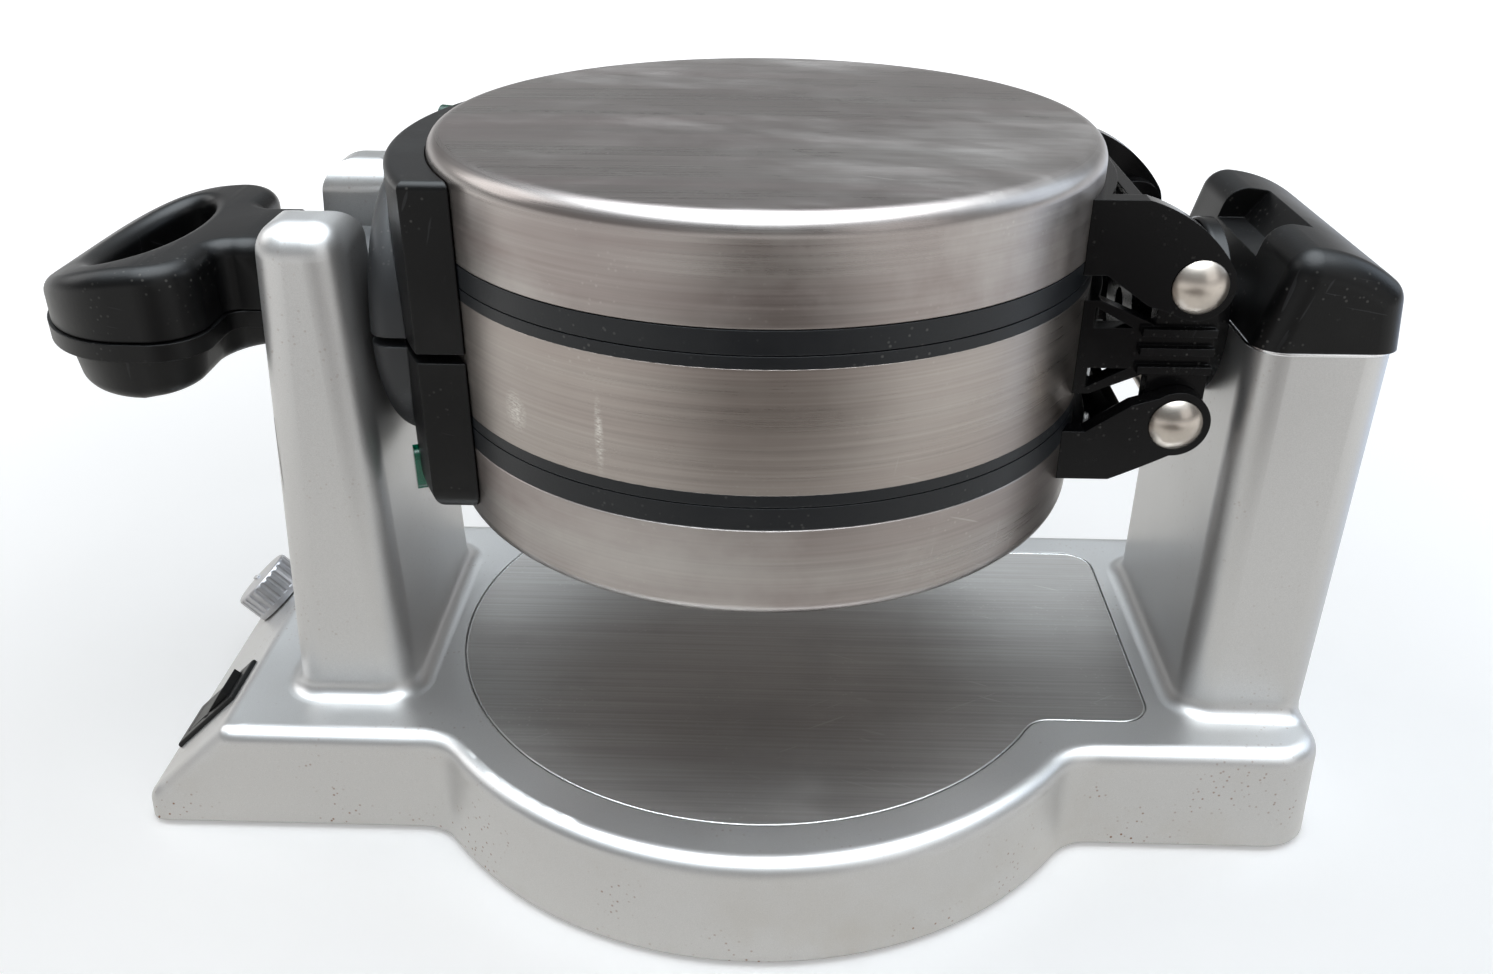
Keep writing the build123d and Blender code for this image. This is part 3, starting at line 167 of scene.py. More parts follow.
class EffectGroup(NodeSheet):
    """A node group with named inputs and outputs, built once and used by several finishes."""

    made: dict[str, bpy.types.NodeTree] = {}

    def __init__(self, name: str, inputs: dict[str, float], outputs: Sequence[str]) -> None:
        """Makes an empty group that takes a vector and its own inputs.

        Args:
            name: the group's name.
            inputs: its inputs and their usual values.
            outputs: the names of its outputs.
        """
        super().__init__(bpy.data.node_groups.new(name, "ShaderNodeTree"))
        add = self.tree.interface.new_socket
        add(name="Vector", in_out="INPUT", socket_type="NodeSocketVector")
        for label, value in inputs.items():
            socket = add(name=label, in_out="INPUT", socket_type="NodeSocketFloat")
            socket.default_value = value
        for label in outputs:
            add(name=label, in_out="OUTPUT", socket_type="NodeSocketFloat")
        self.given = self.tree.nodes.new("NodeGroupInput").outputs
        self.result = self.tree.nodes.new("NodeGroupOutput").inputs
        self.vector = self.given["Vector"]
        EffectGroup.made[name] = self.tree

    def give(self, label: str, socket: Socket) -> None:
        """Links a socket to one of the group's outputs."""
        self.tree.links.new(socket, self.result[label])


@dataclass(frozen=True)
class BrushedLines:
    """Fine lines of a brush, with coarser shading and broad streaks along them.

    Each scale counts waves per metre: along the lines, through the sheet and across the lines.
    """

    radius: float = 0.103
    fine: Point = (22, 1, 3800)
    coarse: Point = (9, 1, 900)
    streak: Point = (4, 1, 55)
    fine_share: float = 0.6
    coarse_share: float = 0.4

    def build(self) -> None:
        """Makes the group, whose input Round turns the lines from along X to round the wall."""
        inputs = {"Round": 1.0, "Radius": self.radius}
        group = EffectGroup("brushed_lines", inputs, ("Height", "Shade", "Streak"))
        x, y, z = group.node("SeparateXYZ", {0: group.vector}).outputs
        along = group.times(group.math("ARCTAN2", y, x), group.given["Radius"])
        wall = group.node("CombineXYZ", {0: along, 1: 0.0, 2: z}).outputs[0]
        flat = group.node("CombineXYZ", {0: x, 1: 0.0, 2: y}).outputs[0]
        ends = {0: group.given["Round"], 4: flat, 5: wall}
        chosen = group.node("Mix", ends, data_type="VECTOR").outputs[1]
        fine = group.noise(group.stretched(chosen, self.fine), 1.0, 2.0)
        coarse = group.noise(group.stretched(chosen, self.coarse), 1.0, 3.0)
        shares = group.times(fine, self.fine_share), group.times(coarse, self.coarse_share)
        group.give("Height", group.plus(*shares))
        group.give("Shade", coarse)
        group.give("Streak", group.noise(group.stretched(chosen, self.streak), 1.0, 4.0, 0.6))


@dataclass(frozen=True)
class MouldedGrain:
    """Fine grain of a moulded or cast skin, and a soft cloud over it."""

    scale: float = 900.0
    cloud: float = 16.0

    def build(self) -> None:
        """Makes the group."""
        group = EffectGroup("moulded_grain", {"Scale": self.scale}, ("Height", "Cloud"))
        group.give("Height", group.noise(group.vector, group.given["Scale"], 3.0))
        group.give("Cloud", group.noise(group.vector, self.cloud, 4.0))


@dataclass(frozen=True)
class Grime:
    """A patchy film, and specks that keep to patches of their own."""

    film: float = 22.0
    film_edge: Span = (0.5, 0.72)
    speck: float = 420.0
    speck_edge: Span = (0.22, 0.1)
    patch: float = 34.0
    patch_edge: Span = (0.5, 0.64)

    def build(self) -> None:
        """Makes the group, whose inputs say how much film and how many specks show."""
        group = EffectGroup("grime", {"Amount": 0.5, "Specks": 0.5}, ("Film", "Speck"))
        film = group.ramp(group.noise(group.vector, self.film, 6.0, 0.65), *self.film_edge)
        cells = group.node("TexVoronoi", {"Vector": group.vector, "Scale": self.speck}).outputs[0]
        patch = group.ramp(group.noise(group.vector, self.patch, 3.0), *self.patch_edge)
        dots = group.times(group.ramp(cells, *self.speck_edge), patch)
        group.give("Film", group.times(film, group.given["Amount"]))
        group.give("Speck", group.times(dots, group.given["Specks"]))


@dataclass(frozen=True)
class Scratches:
    """Hair-fine scratches in three directions, in patches."""

    scale: Point = (30, 900, 60)
    tilt: float = 0.3
    runs: tuple[Span, ...] = ((0.4, 0.0), (-0.7, 3.1), (1.4, 7.7))
    line_edge: Span = (0.735, 0.76)
    patch: float = 18.0
    patch_edge: Span = (0.52, 0.66)

    def build(self) -> None:
        """Makes the group, whose input says how strong the scratches are."""
        group = EffectGroup("scratches", {"Amount": 0.5}, ("Mark",))
        marks = 0.0
        for turn, shift in self.runs:
            moved = group.node("Mapping", {"Vector": group.vector, "Location": (shift, shift, 0)})
            lines = group.stretched(moved.outputs[0], self.scale, (self.tilt, turn, turn))
            marks = group.larger(marks, group.ramp(group.noise(lines, 1.0, 1.0), *self.line_edge))
        patch = group.ramp(group.noise(group.vector, self.patch, 2.0), *self.patch_edge)
        group.give("Mark", group.times(group.times(marks, patch), group.given["Amount"]))


class Surface(NodeSheet):
    """The nodes of one material, which read Object coordinates."""

    def __init__(self, name: str) -> None:
        """Makes a material of this name with no shader yet."""
        self.material = bpy.data.materials.new(name)
        self.material.use_nodes = True
        super().__init__(self.material.node_tree)
        self.tree.nodes.clear()
        self.place = self.node("TexCoord").outputs["Object"]
        self.shader: bpy.types.Node | None = None

    def show(self, shader: bpy.types.Node) -> None:
        """Makes a shader the one that the material shows."""
        self.shader = shader
        self.node("OutputMaterial", {"Surface": shader.outputs[0]})

    def dress(self, inputs: dict) -> None:
        """Gives the shader's inputs their values or links, by name."""
        self.feed(self.shader, inputs)

    def effect(self, name: str, vector: Socket | None = None, **values: Value) -> bpy.types.NodeOutputs:
        """Places a shared effect in the material.

        Args:
            name: the effect's name.
            vector: where it reads its pattern, if not at Object coordinates.
            **values: values or sockets for its own inputs.

        Returns:
            The effect's outputs.
        """
        group = self.node("Group", node_tree=EffectGroup.made[name])
        self.feed(group, {"Vector": self.place if vector is None else vector, **values})
        return group.outputs

    def relief(self, height: Socket, depth: float, edge: float) -> None:
        """Feeds the shader's normal.

        Args:
            height: the pattern that is pressed in.
            depth: how deep it is, in metres.
            edge: the radius in metres that sharp edges are softened to.
        """
        soft = self.node("Bevel", {"Radius": edge}, samples=4).outputs[0]
        inputs = {"Height": height, "Distance": depth, "Strength": 1.0, "Normal": soft}
        self.dress({"Normal": self.node("Bump", inputs).outputs[0]})


@dataclass(frozen=True)
class Finish:
    """A surface finish; each kind adds its own detail to one Principled BSDF.

    Lengths are in metres, and a scale counts waves per metre. A span whose name ends in _edge holds
    the two levels at which an effect starts and is full. The field edge is the radius that sharp
    edges are softened to, and clouding is how far the roughness goes down and up.
    """

    name: str
    slot: str
    colour: Colour
    roughness: float = 0.5
    specular: float = 0.5
    edge: float = 0.0004
    clouding: Span = (-0.05, 0.07)

    def shade(self, share: float) -> Colour:
        """Returns the base colour, darker or lighter by a factor."""
        return tuple(min(1.0, part * share) for part in self.colour)

    def clouded(self, sheet: Surface, cloud: Socket) -> Socket:
        """Returns the roughness, which goes down and up with a cloud."""
        low, high = (self.roughness + change for change in self.clouding)
        return sheet.ramp(cloud, *MIDDLE, low, high)

    def material(self) -> bpy.types.Material:
        """Makes the finish's material when it is first asked for.

        Returns:
            The material, the same one each time.
        """
        found = bpy.data.materials.get(self.name)
        if found:
            return found
        sheet = Surface(self.name)
        plain = (*self.colour, 1.0)
        inputs = {"Base Color": plain, "Roughness": self.roughness, "Specular IOR Level": self.specular}
        sheet.show(sheet.node("BsdfPrincipled", inputs))
        self.detail(sheet)
        sheet.material.diffuse_color = plain
        return sheet.material

    def detail(self, sheet: Surface) -> None:
        """Adds what sets this kind of finish apart."""
        raise NotImplementedError


@dataclass(frozen=True)
class Scuff:
    """A worn spot: its middle, and how far it goes along each axis, in metres."""

    place: Point
    reach: Point


@dataclass(frozen=True)
class BrushedSteel(Finish):
    """Stainless sheet with fine brushed lines, soft darker streaks that are partly painted reflection,
    faint clouding and scratches.
    """

    clouding: Span = (-0.03, 0.05)
    direction: Direction = Direction.ROUND
    axis_x: float = 0.0205
    top_radius: float = 0.0985
    top_blend: float = 0.0012
    wear: float = 0.6
    streaks: float = 0.5
    smears: float = 0.12
    bloom: float = 0.15
    scuffs: tuple[Scuff, ...] = ()
    depth: float = 0.000008
    tones: Span = (0.86, 1.12)
    streak_reflection_share: Colour = (0.74, 0.66, 0.66)
    streak_edge: Span = (0.42, 0.72)
    heat_scale: Point = (6, 11, 14)
    heat_edge: Span = (0.45, 0.65)
    heat_colour: Colour = (0.17, 0.135, 0.13)
    smear_scale: Point = (7, 17, 12)
    smear_turn: Point = (0, 0, 0.35)
    smear_edge: Span = (0.47, 0.68)
    smear_colour: Colour = (0.6, 0.58, 0.56)
    scratch_colour: Colour = (0.6, 0.58, 0.55)
    speck_colour: Colour = (0.6, 0.57, 0.53)
    scuff_scale: Point = (600, 600, 1900)
    scuff_edge: Span = (0.42, 0.62)
    scuff_core: float = 0.2
    scuff_strength: float = 0.55
    scuff_colour: Colour = (0.85, 0.84, 0.8)

    def roundness(self, sheet: Surface, centred: Socket) -> Value:
        """Says where the lines run which way.

        Args:
            sheet: the material's nodes.
            centred: the place, measured from the stack's axis.

        Returns:
            1 where the lines go round the wall and 0 where they run along X.
        """
        if self.direction is not Direction.DRAWN:
            return float(self.direction is Direction.ROUND)
        flat = sheet.node("VectorMath", {0: centred, 1: (1, 1, 0)}, operation="MULTIPLY").outputs[0]
        return sheet.ramp(sheet.length(flat), self.top_radius, self.top_radius + self.top_blend)

    def worn(self, sheet: Surface) -> Value:
        """Finds the finish's own scuffs.

        Args:
            sheet: the material's nodes.

        Returns:
            A mask that is 0 away from the scuffs.
        """
        mask = 0.0
        grain = sheet.noise(sheet.stretched(sheet.place, self.scuff_scale), 1.0, 3.0, 0.7)
        broken = sheet.ramp(grain, *self.scuff_edge)
        for scuff in self.scuffs:
            inverse = tuple(1 / reach for reach in scuff.reach)
            shift = tuple(-middle * scale for middle, scale in zip(scuff.place, inverse))
            inputs = {"Vector": sheet.place, "Scale": inverse, "Location": shift}
            far = sheet.length(sheet.node("Mapping", inputs).outputs[0])
            near = sheet.ramp(far, 1.0, self.scuff_core, 0.0, self.scuff_strength)
            mask = sheet.larger(mask, sheet.times(near, broken))
        return mask

    def detail(self, sheet: Surface) -> None:
        """Adds the brushed lines, darker streaks that are partly painted reflection, clouding, scratches
        and scuffs.

        Args:
            sheet: the material's nodes.
        """
        shift = {"Vector": sheet.place, "Location": (-self.axis_x, 0, 0)}
        centred = sheet.node("Mapping", shift).outputs[0]
        brush = sheet.effect("brushed_lines", centred, Round=self.roundness(sheet, centred))
        scratch = sheet.effect("scratches", Amount=self.wear)
        grime = sheet.effect("grime", Amount=0.5, Specks=0.2)
        # Darker streaks along the brushing: partly the sheet's own streaks, partly painted reflection.
        streak = sheet.times(sheet.ramp(brush["Streak"], *self.streak_edge), self.streaks)
        warm = sheet.noise(sheet.stretched(sheet.place, self.heat_scale), 1.0, 3.0)
        heat = sheet.times(sheet.ramp(warm, *self.heat_edge), self.bloom)
        wiped = sheet.stretched(sheet.place, self.smear_scale, self.smear_turn)
        wiped = sheet.noise(wiped, 1.0, 6.0, 0.62)
        smear = sheet.times(sheet.ramp(wiped, *self.smear_edge), self.smears)
        tone = sheet.layered(
            sheet.mix(sheet.ramp(brush["Shade"], *MIDDLE), *map(self.shade, self.tones)),
            (streak, tuple(part * share for part, share in zip(self.colour, self.streak_reflection_share))),
            (heat, self.heat_colour),
            (smear, self.smear_colour),
            (sheet.times(grime["Film"], 0.35), self.shade(0.7)),
            (scratch["Mark"], self.scratch_colour),
            (grime["Speck"], self.speck_colour),
            (self.worn(sheet), self.scuff_colour),
        )
        rough = self.clouded(sheet, brush["Height"])
        for mask, more in ((streak, 0.1), (smear, 0.3), (grime["Film"], 0.14)):
            rough = sheet.plus(rough, sheet.times(mask, more))
        sheet.dress({"Metallic": 1.0, "Base Color": tone, "Roughness": rough})
        sheet.relief(brush["Height"], self.depth, self.edge)


@dataclass(frozen=True)
class SilverPaint(Finish):
    """Silver metallic paint on the base moulding, with rust specks and grime low down."""

    clouding: Span = (-0.04, 0.06)
    depth: float = 0.000005
    tones: Span = (0.9, 1.06)
    flake_scale: float = 5200.0
    peel_scale: float = 260.0
    low: Span = (0.045, 0.005)
    film_share: Span = (0.08, 0.5)
    film_colour: Colour = (0.42, 0.38, 0.32)
    rust_share: Span = (0.25, 1.0)
    rust_colour: Colour = (0.2, 0.09, 0.04)

    def detail(self, sheet: Surface) -> None:
        """Adds metal flake, a soft orange-peel surface, film and specks.

        Args:
            sheet: the material's nodes.
        """
        sheet.dress({"Metallic": 0.8, "Coat Weight": 0.25, "Coat Roughness": 0.25})
        flake = sheet.ramp(sheet.noise(sheet.place, self.flake_scale, 1.0), *MIDDLE)
        grain = sheet.effect("moulded_grain", Scale=self.peel_scale)
        grime = sheet.effect("grime", Amount=0.6, Specks=1.0)
        foot = sheet.ramp(sheet.node("SeparateXYZ", {0: sheet.place}).outputs[2], *self.low)
        film = sheet.ramp(foot, 0.0, 1.0, *self.film_share)
        rust = sheet.ramp(foot, 0.0, 1.0, *self.rust_share)
        tone = sheet.layered(
            sheet.mix(flake, *map(self.shade, self.tones)),
            (sheet.times(grime["Film"], film), self.film_colour),
            (sheet.times(grime["Speck"], rust), self.rust_colour),
        )
        sheet.dress({"Base Color": tone, "Roughness": self.clouded(sheet, grain["Cloud"])})
        sheet.relief(grain["Height"], self.depth, self.edge)


@dataclass(frozen=True)
class MouldedPlastic(Finish):
    """Black moulded plastic or enamel: fine grain, dust and light rub marks."""

    grain: float = 0.00003
    dust: float = 0.4
    coat: float = 0.0
    grain_scale: float = 1400.0
    dust_colour: Colour = (0.05, 0.048, 0.045)
    speck_colour: Colour = (0.3, 0.29, 0.27)
    rub_colour: Colour = (0.2, 0.2, 0.21)

    def detail(self, sheet: Surface) -> None:
        """Adds the grain, dust, specks and rub marks.

        Args:
            sheet: the material's nodes.
        """
        sheet.dress({"Coat Weight": self.coat, "Coat Roughness": 0.12})
        grain = sheet.effect("moulded_grain", Scale=self.grain_scale)
        grime = sheet.effect("grime", Amount=self.dust, Specks=self.dust)
        scratch = sheet.effect("scratches", Amount=0.35)
        tone = sheet.layered(
            self.colour,
            (sheet.times(grime["Film"], 0.3), self.dust_colour),
            (sheet.times(grime["Speck"], 0.6), self.speck_colour),
            (sheet.times(scratch["Mark"], 0.3), self.rub_colour),
        )
        rough = self.clouded(sheet, grain["Cloud"])
        rough = sheet.plus(rough, sheet.times(grime["Film"], 0.2))
        sheet.dress({"Base Color": tone, "Roughness": rough})
        sheet.relief(grain["Height"], self.grain, self.edge)


@dataclass(frozen=True)
class PlainMetal(Finish):
    """Turned or cast metal with clouded roughness and a faint grain."""

    clouding: Span = (-0.06, 0.08)
    grain: float = 0.00001
    grain_scale: float = 700.0
    speck_colour: Colour = (0.3, 0.27, 0.24)

    def detail(self, sheet: Surface) -> None:
        """Adds the grain, clouding and film.

        Args:
            sheet: the material's nodes.
        """
        grain = sheet.effect("moulded_grain", Scale=self.grain_scale)
        grime = sheet.effect("grime", Amount=0.6, Specks=0.3)
        layers = (grime["Film"], self.shade(0.55)), (grime["Speck"], self.speck_colour)
        rough = self.clouded(sheet, grain["Cloud"])
        tone = sheet.layered(self.colour, *layers)
        sheet.dress({"Metallic": 1.0, "Base Color": tone, "Roughness": rough})
        sheet.relief(grain["Height"], self.grain, self.edge)


@dataclass(frozen=True)
class LampLens(Finish):
    """Translucent green lens of the indicator lamp."""

    grain_scale: float = 300.0
    cloud_edge: Span = (0.35, 0.65)
    refraction: float = 1.49
    clearness: float = 0.55

    def detail(self, sheet: Surface) -> None:
        """Sets the glass and its faint cloud.

        Args:
            sheet: the material's nodes.
        """
        sheet.dress({"Transmission Weight": self.clearness, "IOR": self.refraction})
        grain = sheet.effect("moulded_grain", Scale=self.grain_scale)
        cloud = sheet.ramp(grain["Cloud"], *self.cloud_edge)
        sheet.dress({"Base Color": sheet.mix(cloud, self.shade(0.6), self.colour)})


WALL_SCUFFS = (
    Scuff((-0.0478, -0.0771, 0.161), (0.005, 0.005, 0.007)),
    Scuff((-0.0222, -0.0937, 0.162), (0.0015, 0.003, 0.013)),
)
WALL_STEEL = BrushedSteel("wall_steel", "brushed_steel", (0.36, 0.326, 0.303), 0.27, scuffs=WALL_SCUFFS)
LID_STEEL = BrushedSteel(
    "lid_steel", "brushed_steel", (0.35, 0.325, 0.31), 0.26,
    direction=Direction.DRAWN, streaks=0.9, smears=0.4, bloom=0.5,
)
INLAY_STEEL = BrushedSteel(
    "inlay_steel", "brushed_steel", (0.36, 0.348, 0.335), 0.4,
    direction=Direction.STRAIGHT, wear=0.3, streaks=0.2,
)
SILVER = SilverPaint("silver_coat", "silver_paint", (0.56, 0.555, 0.55), 0.36, edge=0.0008)
BLACK = MouldedPlastic(
    "moulded_black", "black_plastic", (0.0035, 0.0035, 0.0037), 0.34, specular=0.22, edge=0.0006
)
TRIM = MouldedPlastic("trim_black", "black_plastic", (0.008, 0.0095, 0.012), 0.34, specular=0.3)
# The hub's black plastic, made a lighter bluish grey than the other black parts as painted sheen.
HUB_PAINTED_SHEEN = MouldedPlastic(
    "hub_black_painted_sheen", "black_plastic", (0.03, 0.031, 0.033), 0.42, specular=0.4, edge=0.0008
)
BLACK_GLOSS = MouldedPlastic(
    "black_enamel", "black_casting", (0.0025, 0.0025, 0.003), 0.2,
    specular=0.15, grain=0.00001, dust=0.3, coat=0.06,
)
RUBBER = MouldedPlastic("foot_rubber", "rubber", (0.015, 0.015, 0.015), 0.75, specular=0.3, grain=0.00004)
BOARD = MouldedPlastic("board_green", "board", (0.02, 0.12, 0.05), 0.4)
COATING = MouldedPlastic("plate_coating", "cast_plate", (0.01, 0.01, 0.011), 0.38, specular=0.3)
NICKEL = PlainMetal("domed_nickel", "nickel", (0.52, 0.47, 0.42), 0.3)
DULL_STEEL = PlainMetal("dull_steel", "heater_tube", (0.3, 0.29, 0.28), 0.4)
KNOB_METAL = PlainMetal("knurled_metal", "knob_silver", (0.5, 0.5, 0.52), 0.3)
SHIELD_METAL = PlainMetal("shield_aluminium", "shield_sheet", (0.6, 0.6, 0.61), 0.4)
BRONZE = PlainMetal("bush_bronze", "bronze", (0.5, 0.32, 0.14), 0.35)
# Lighter silver for the rim under the post's cap: a painted highlight.
PAINTED_HIGHLIGHT_SILVER = PlainMetal("painted_highlight_silver", "silver_paint", (0.72, 0.72, 0.73), 0.22)
# Lighter steel for the bead round the inlay plate: a painted highlight.
PAINTED_HIGHLIGHT_STEEL = PlainMetal("painted_highlight_steel", "brushed_steel", (0.7, 0.7, 0.69), 0.25)
LENS = LampLens("lamp_lens", "lens_green", (0.0, 0.2, 0.11), 0.18)

SLOT_FINISHES = (
    SILVER, BLACK, BLACK_GLOSS, RUBBER, BOARD, NICKEL, DULL_STEEL, KNOB_METAL, SHIELD_METAL, BRONZE,
    COATING, LENS, WALL_STEEL,
)
NODE_FINISHES = {
    "inlay_plate": INLAY_STEEL,
    "lid_cover_upper": LID_STEEL,
    "lid_cover_lower": LID_STEEL,
    "hub_half_upper": HUB_PAINTED_SHEEN,
    "hub_half_lower": HUB_PAINTED_SHEEN,
}


def build_effects() -> None:
    """Makes the shared effects."""
    for effect in (BrushedLines(), MouldedGrain(), Grime(), Scratches()):
        effect.build()


def dress_frame() -> None:
    """Gives every CAD node its own finish, or else the one of its slot."""
    by_slot = {finish.slot: finish for finish in SLOT_FINISHES}
    slots = {part["node"]: part["material_slot"] for part in frame["record"]["subparts"]}
    for name, node in frame["nodes"].items():
        usual = TRIM if "trim_ring" in name else by_slot[slots[name]]
        node.data.materials.clear()
        node.data.materials.append(NODE_FINISHES.get(name, usual).material())


class Pick(Enum):
    """What a selection in code picks."""

    FACES = "FACE"
    EDGES = "EDGE"


@dataclass
class SubAssembly:
    """Modelling steps that the sub-assemblies share.

    Sizes are in millimetres, with x from the stack's own axis, which is at stack_x in the frame,
    and z from the turning axis, which is axis_z over the counter.
    """

    stack_x: float = 20.5
    axis_z: float = 167.5
    stack_radius: float = 103.0

    def build(self) -> list[Piece]:
        """Makes the sub-assembly's pieces and returns them."""
        raise NotImplementedError

    def place(self, x: float, y: float, z: float) -> Vector:
        """Returns a point of the stack in the frame, in metres."""
        return Vector(((x + self.stack_x) * MM, y * MM, (z + self.axis_z) * MM))

    def settle(self) -> Piece:
        """Returns the active object with its place, turn and scale moved into its mesh."""
        bpy.ops.object.transform_apply(location=True, rotation=True, scale=True)
        return bpy.context.object

    def alone(self, piece: Piece) -> None:
        """Leaves only this piece selected, and active.

        Args:
            piece: the piece.
        """
        bpy.ops.object.select_all(action="DESELECT")
        bpy.context.view_layer.objects.active = piece
        piece.select_set(True)

    def edit(self) -> None:
        """Enters edit mode with the whole piece selected."""
        bpy.ops.object.mode_set(mode="EDIT")
        bpy.ops.mesh.select_all(action="SELECT")

    def leave(self) -> None:
        """Goes back to object mode."""
        bpy.ops.object.mode_set(mode="OBJECT")

    def pick(self, piece: Piece, what: Pick, wanted: Callable[[Vector, Vector], bool]) -> None:
        """Selects parts of a piece by place and direction, and leaves it in edit mode.

        Args:
            piece: the piece, settled at the origin.
            what: faces or edges.
            wanted: told the middle and the normal or run of each, says whether it is picked.
        """
        bpy.ops.object.mode_set(mode="EDIT")
        bpy.ops.mesh.select_mode(type=what.value)
        bpy.ops.mesh.select_all(action="DESELECT")
        self.leave()
        mesh = piece.data
        if what is Pick.FACES:
            for face in mesh.polygons:
                face.select = wanted(face.center, face.normal)
        else:
            for edge in mesh.edges:
                first, last = (mesh.vertices[i].co for i in edge.vertices)
                edge.select = wanted((first + last) / 2, (last - first).normalized())
        bpy.ops.object.mode_set(mode="EDIT")

    def turned(self, outline: Sequence[Vector], centre: Vector, axis: Point, steps: int) -> Piece:
        """Traces a closed outline and spins it into a ring or a disc.

        Args:
            outline: the outline's points in order, the first again at the end.
            centre: a point on the axis.
            axis: the axis's direction.
            steps: how many steps the full turn has.

        Returns:
            The turned piece, its normals pointing outwards.
        """
        bpy.ops.object.select_all(action="DESELECT")
        bpy.ops.mesh.primitive_plane_add(size=MM, location=outline[0])
        piece = self.settle()
        self.edit()
        bpy.ops.mesh.select_mode(type="VERT")
        bpy.ops.mesh.merge(type="CENTER")
        for start, end in zip(outline, outline[1:]):
            bpy.ops.mesh.extrude_region_move(TRANSFORM_OT_translate={"value": end - start})
        bpy.ops.mesh.select_all(action="SELECT")
        bpy.ops.mesh.remove_doubles(threshold=WELD)
        bpy.ops.mesh.select_all(action="SELECT")
        bpy.ops.mesh.spin(steps=steps, angle=math.tau, center=centre, axis=axis)
        bpy.ops.mesh.select_all(action="SELECT")
        bpy.ops.mesh.remove_doubles(threshold=WELD)
        bpy.ops.mesh.normals_make_consistent(inside=False)
        self.leave()
        return piece

    def carve(self, piece: Piece, tool: Piece) -> None:
        """Takes a tool's shape out of a piece.

        Args:
            piece: the piece.
            tool: a closed piece, which is removed afterwards.
        """
        self.alone(piece)
        cut = piece.modifiers.new("carve", "BOOLEAN")
        cut.object = tool
        cut.operation = "DIFFERENCE"
        cut.solver = "EXACT"
        bpy.ops.object.modifier_apply(modifier=cut.name)
        bpy.data.objects.remove(tool)

    def copied(self, piece: Piece) -> Piece:
        """Copies a piece.

        Args:
            piece: the piece.

        Returns:
            The copy with a mesh of its own, selected and active.
        """
        self.alone(piece)
        bpy.ops.object.duplicate(linked=False)
        return bpy.context.object

    def node_copy(self, node: str) -> Piece:
        """Copies a CAD node to be worked further.

        Args:
            node: the node's name.

        Returns:
            The copy, its loose triangles merged.
        """
        copy = self.copied(frame["nodes"][node])
        copy.parent = None
        copy.hide_render = False
        self.edit()
        bpy.ops.mesh.remove_doubles(threshold=CAD_WELD)
        self.leave()
        return copy

    def joined(self, pieces: Sequence[Piece]) -> Piece:
        """Joins several pieces.

        Args:
            pieces: the pieces.

        Returns:
            The one piece that they have become.
        """
        self.alone(pieces[0])
        for piece in pieces:
            piece.select_set(True)
        bpy.ops.object.join()
        return bpy.context.object

    def hand_over(
        self, piece: Piece, name: str, finish: Finish, body: str, *nodes: str, angle: float = 35.0
    ) -> Piece:
        """Names, smooths and dresses a finished piece and hangs it on its body.

        Args:
            piece: the finished piece.
            name: its name.
            finish: its finish.
            body: the body that it rides on.
            *nodes: the CAD nodes that it stands for.
            angle: edges sharper than this many degrees stay crisp.

        Returns:
            The same piece.
        """
        self.alone(piece)
        self.settle()
        bpy.ops.object.shade_smooth_by_angle(angle=math.radians(angle))
        piece.name = name
        piece.data.materials.clear()
        piece.data.materials.append(finish.material())
        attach(piece, body)
        if nodes:
            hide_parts(*nodes)
        return piece


@dataclass
class LidCovers(SubAssembly):
    """Drawn steel cups over the two waffle chambers."""

    bottom: float = 28.7
    top: float = 58.5
    sheet: float = 1.5
    shoulder: float = 6.2
    crown: float = 0.35
    crown_shares: tuple[float, ...] = (0.75, 0.5, 0.25, 0.0)
    lip: float = 0.5
    arc_steps: int = 12
    steps: int = 160

    def outline(self) -> list[Vector]:
        """Draws the cup's cross-section.

        Returns:
            Its points, up the outside and back down the inside to the first one.
        """
        rim = self.stack_radius
        start = self.top - self.crown - self.shoulder
        arc = [i * math.pi / (2 * self.arc_steps) for i in range(self.arc_steps + 1)]
        outer = [(rim - self.lip, self.bottom), (rim, self.bottom + self.lip)]
        for angle in arc:
            across = rim - self.shoulder * (1 - math.cos(angle))
            outer.append((across, start + self.shoulder * math.sin(angle)))
        for share in self.crown_shares:
            outer.append((share * (rim - self.shoulder), self.top - self.crown * share**2))
        inner = [(0.0, self.top - self.sheet), (rim - self.shoulder, self.top - self.crown - self.sheet)]
        for angle in arc[:-1][::-1]:
            inside = self.shoulder - self.sheet
            across = rim - self.sheet - inside * (1 - math.cos(angle))
            inner.append((across, start + inside * math.sin(angle)))
        inner.append((rim - self.sheet, self.bottom))
        flat = outer + inner + outer[:1]
        return [self.place(across, 0, height) for across, height in flat]

    def build(self) -> list[Piece]:
        """Spins the upper cup and turns a copy over for the lower one.

        Returns:
            The two cups.
        """
        centre = self.place(0, 0, 0)
        upper = self.turned(self.outline(), centre, (0, 0, 1), self.steps)
        lower = self.copied(upper)
        bpy.ops.transform.rotate(value=math.pi, orient_axis="X", center_override=centre)
        return [
            self.hand_over(upper, "steel_cup_upper", LID_STEEL, "upper_lid", "lid_cover_upper"),
            self.hand_over(lower, "steel_cup_lower", LID_STEEL, "lower_lid", "lid_cover_lower"),
        ]


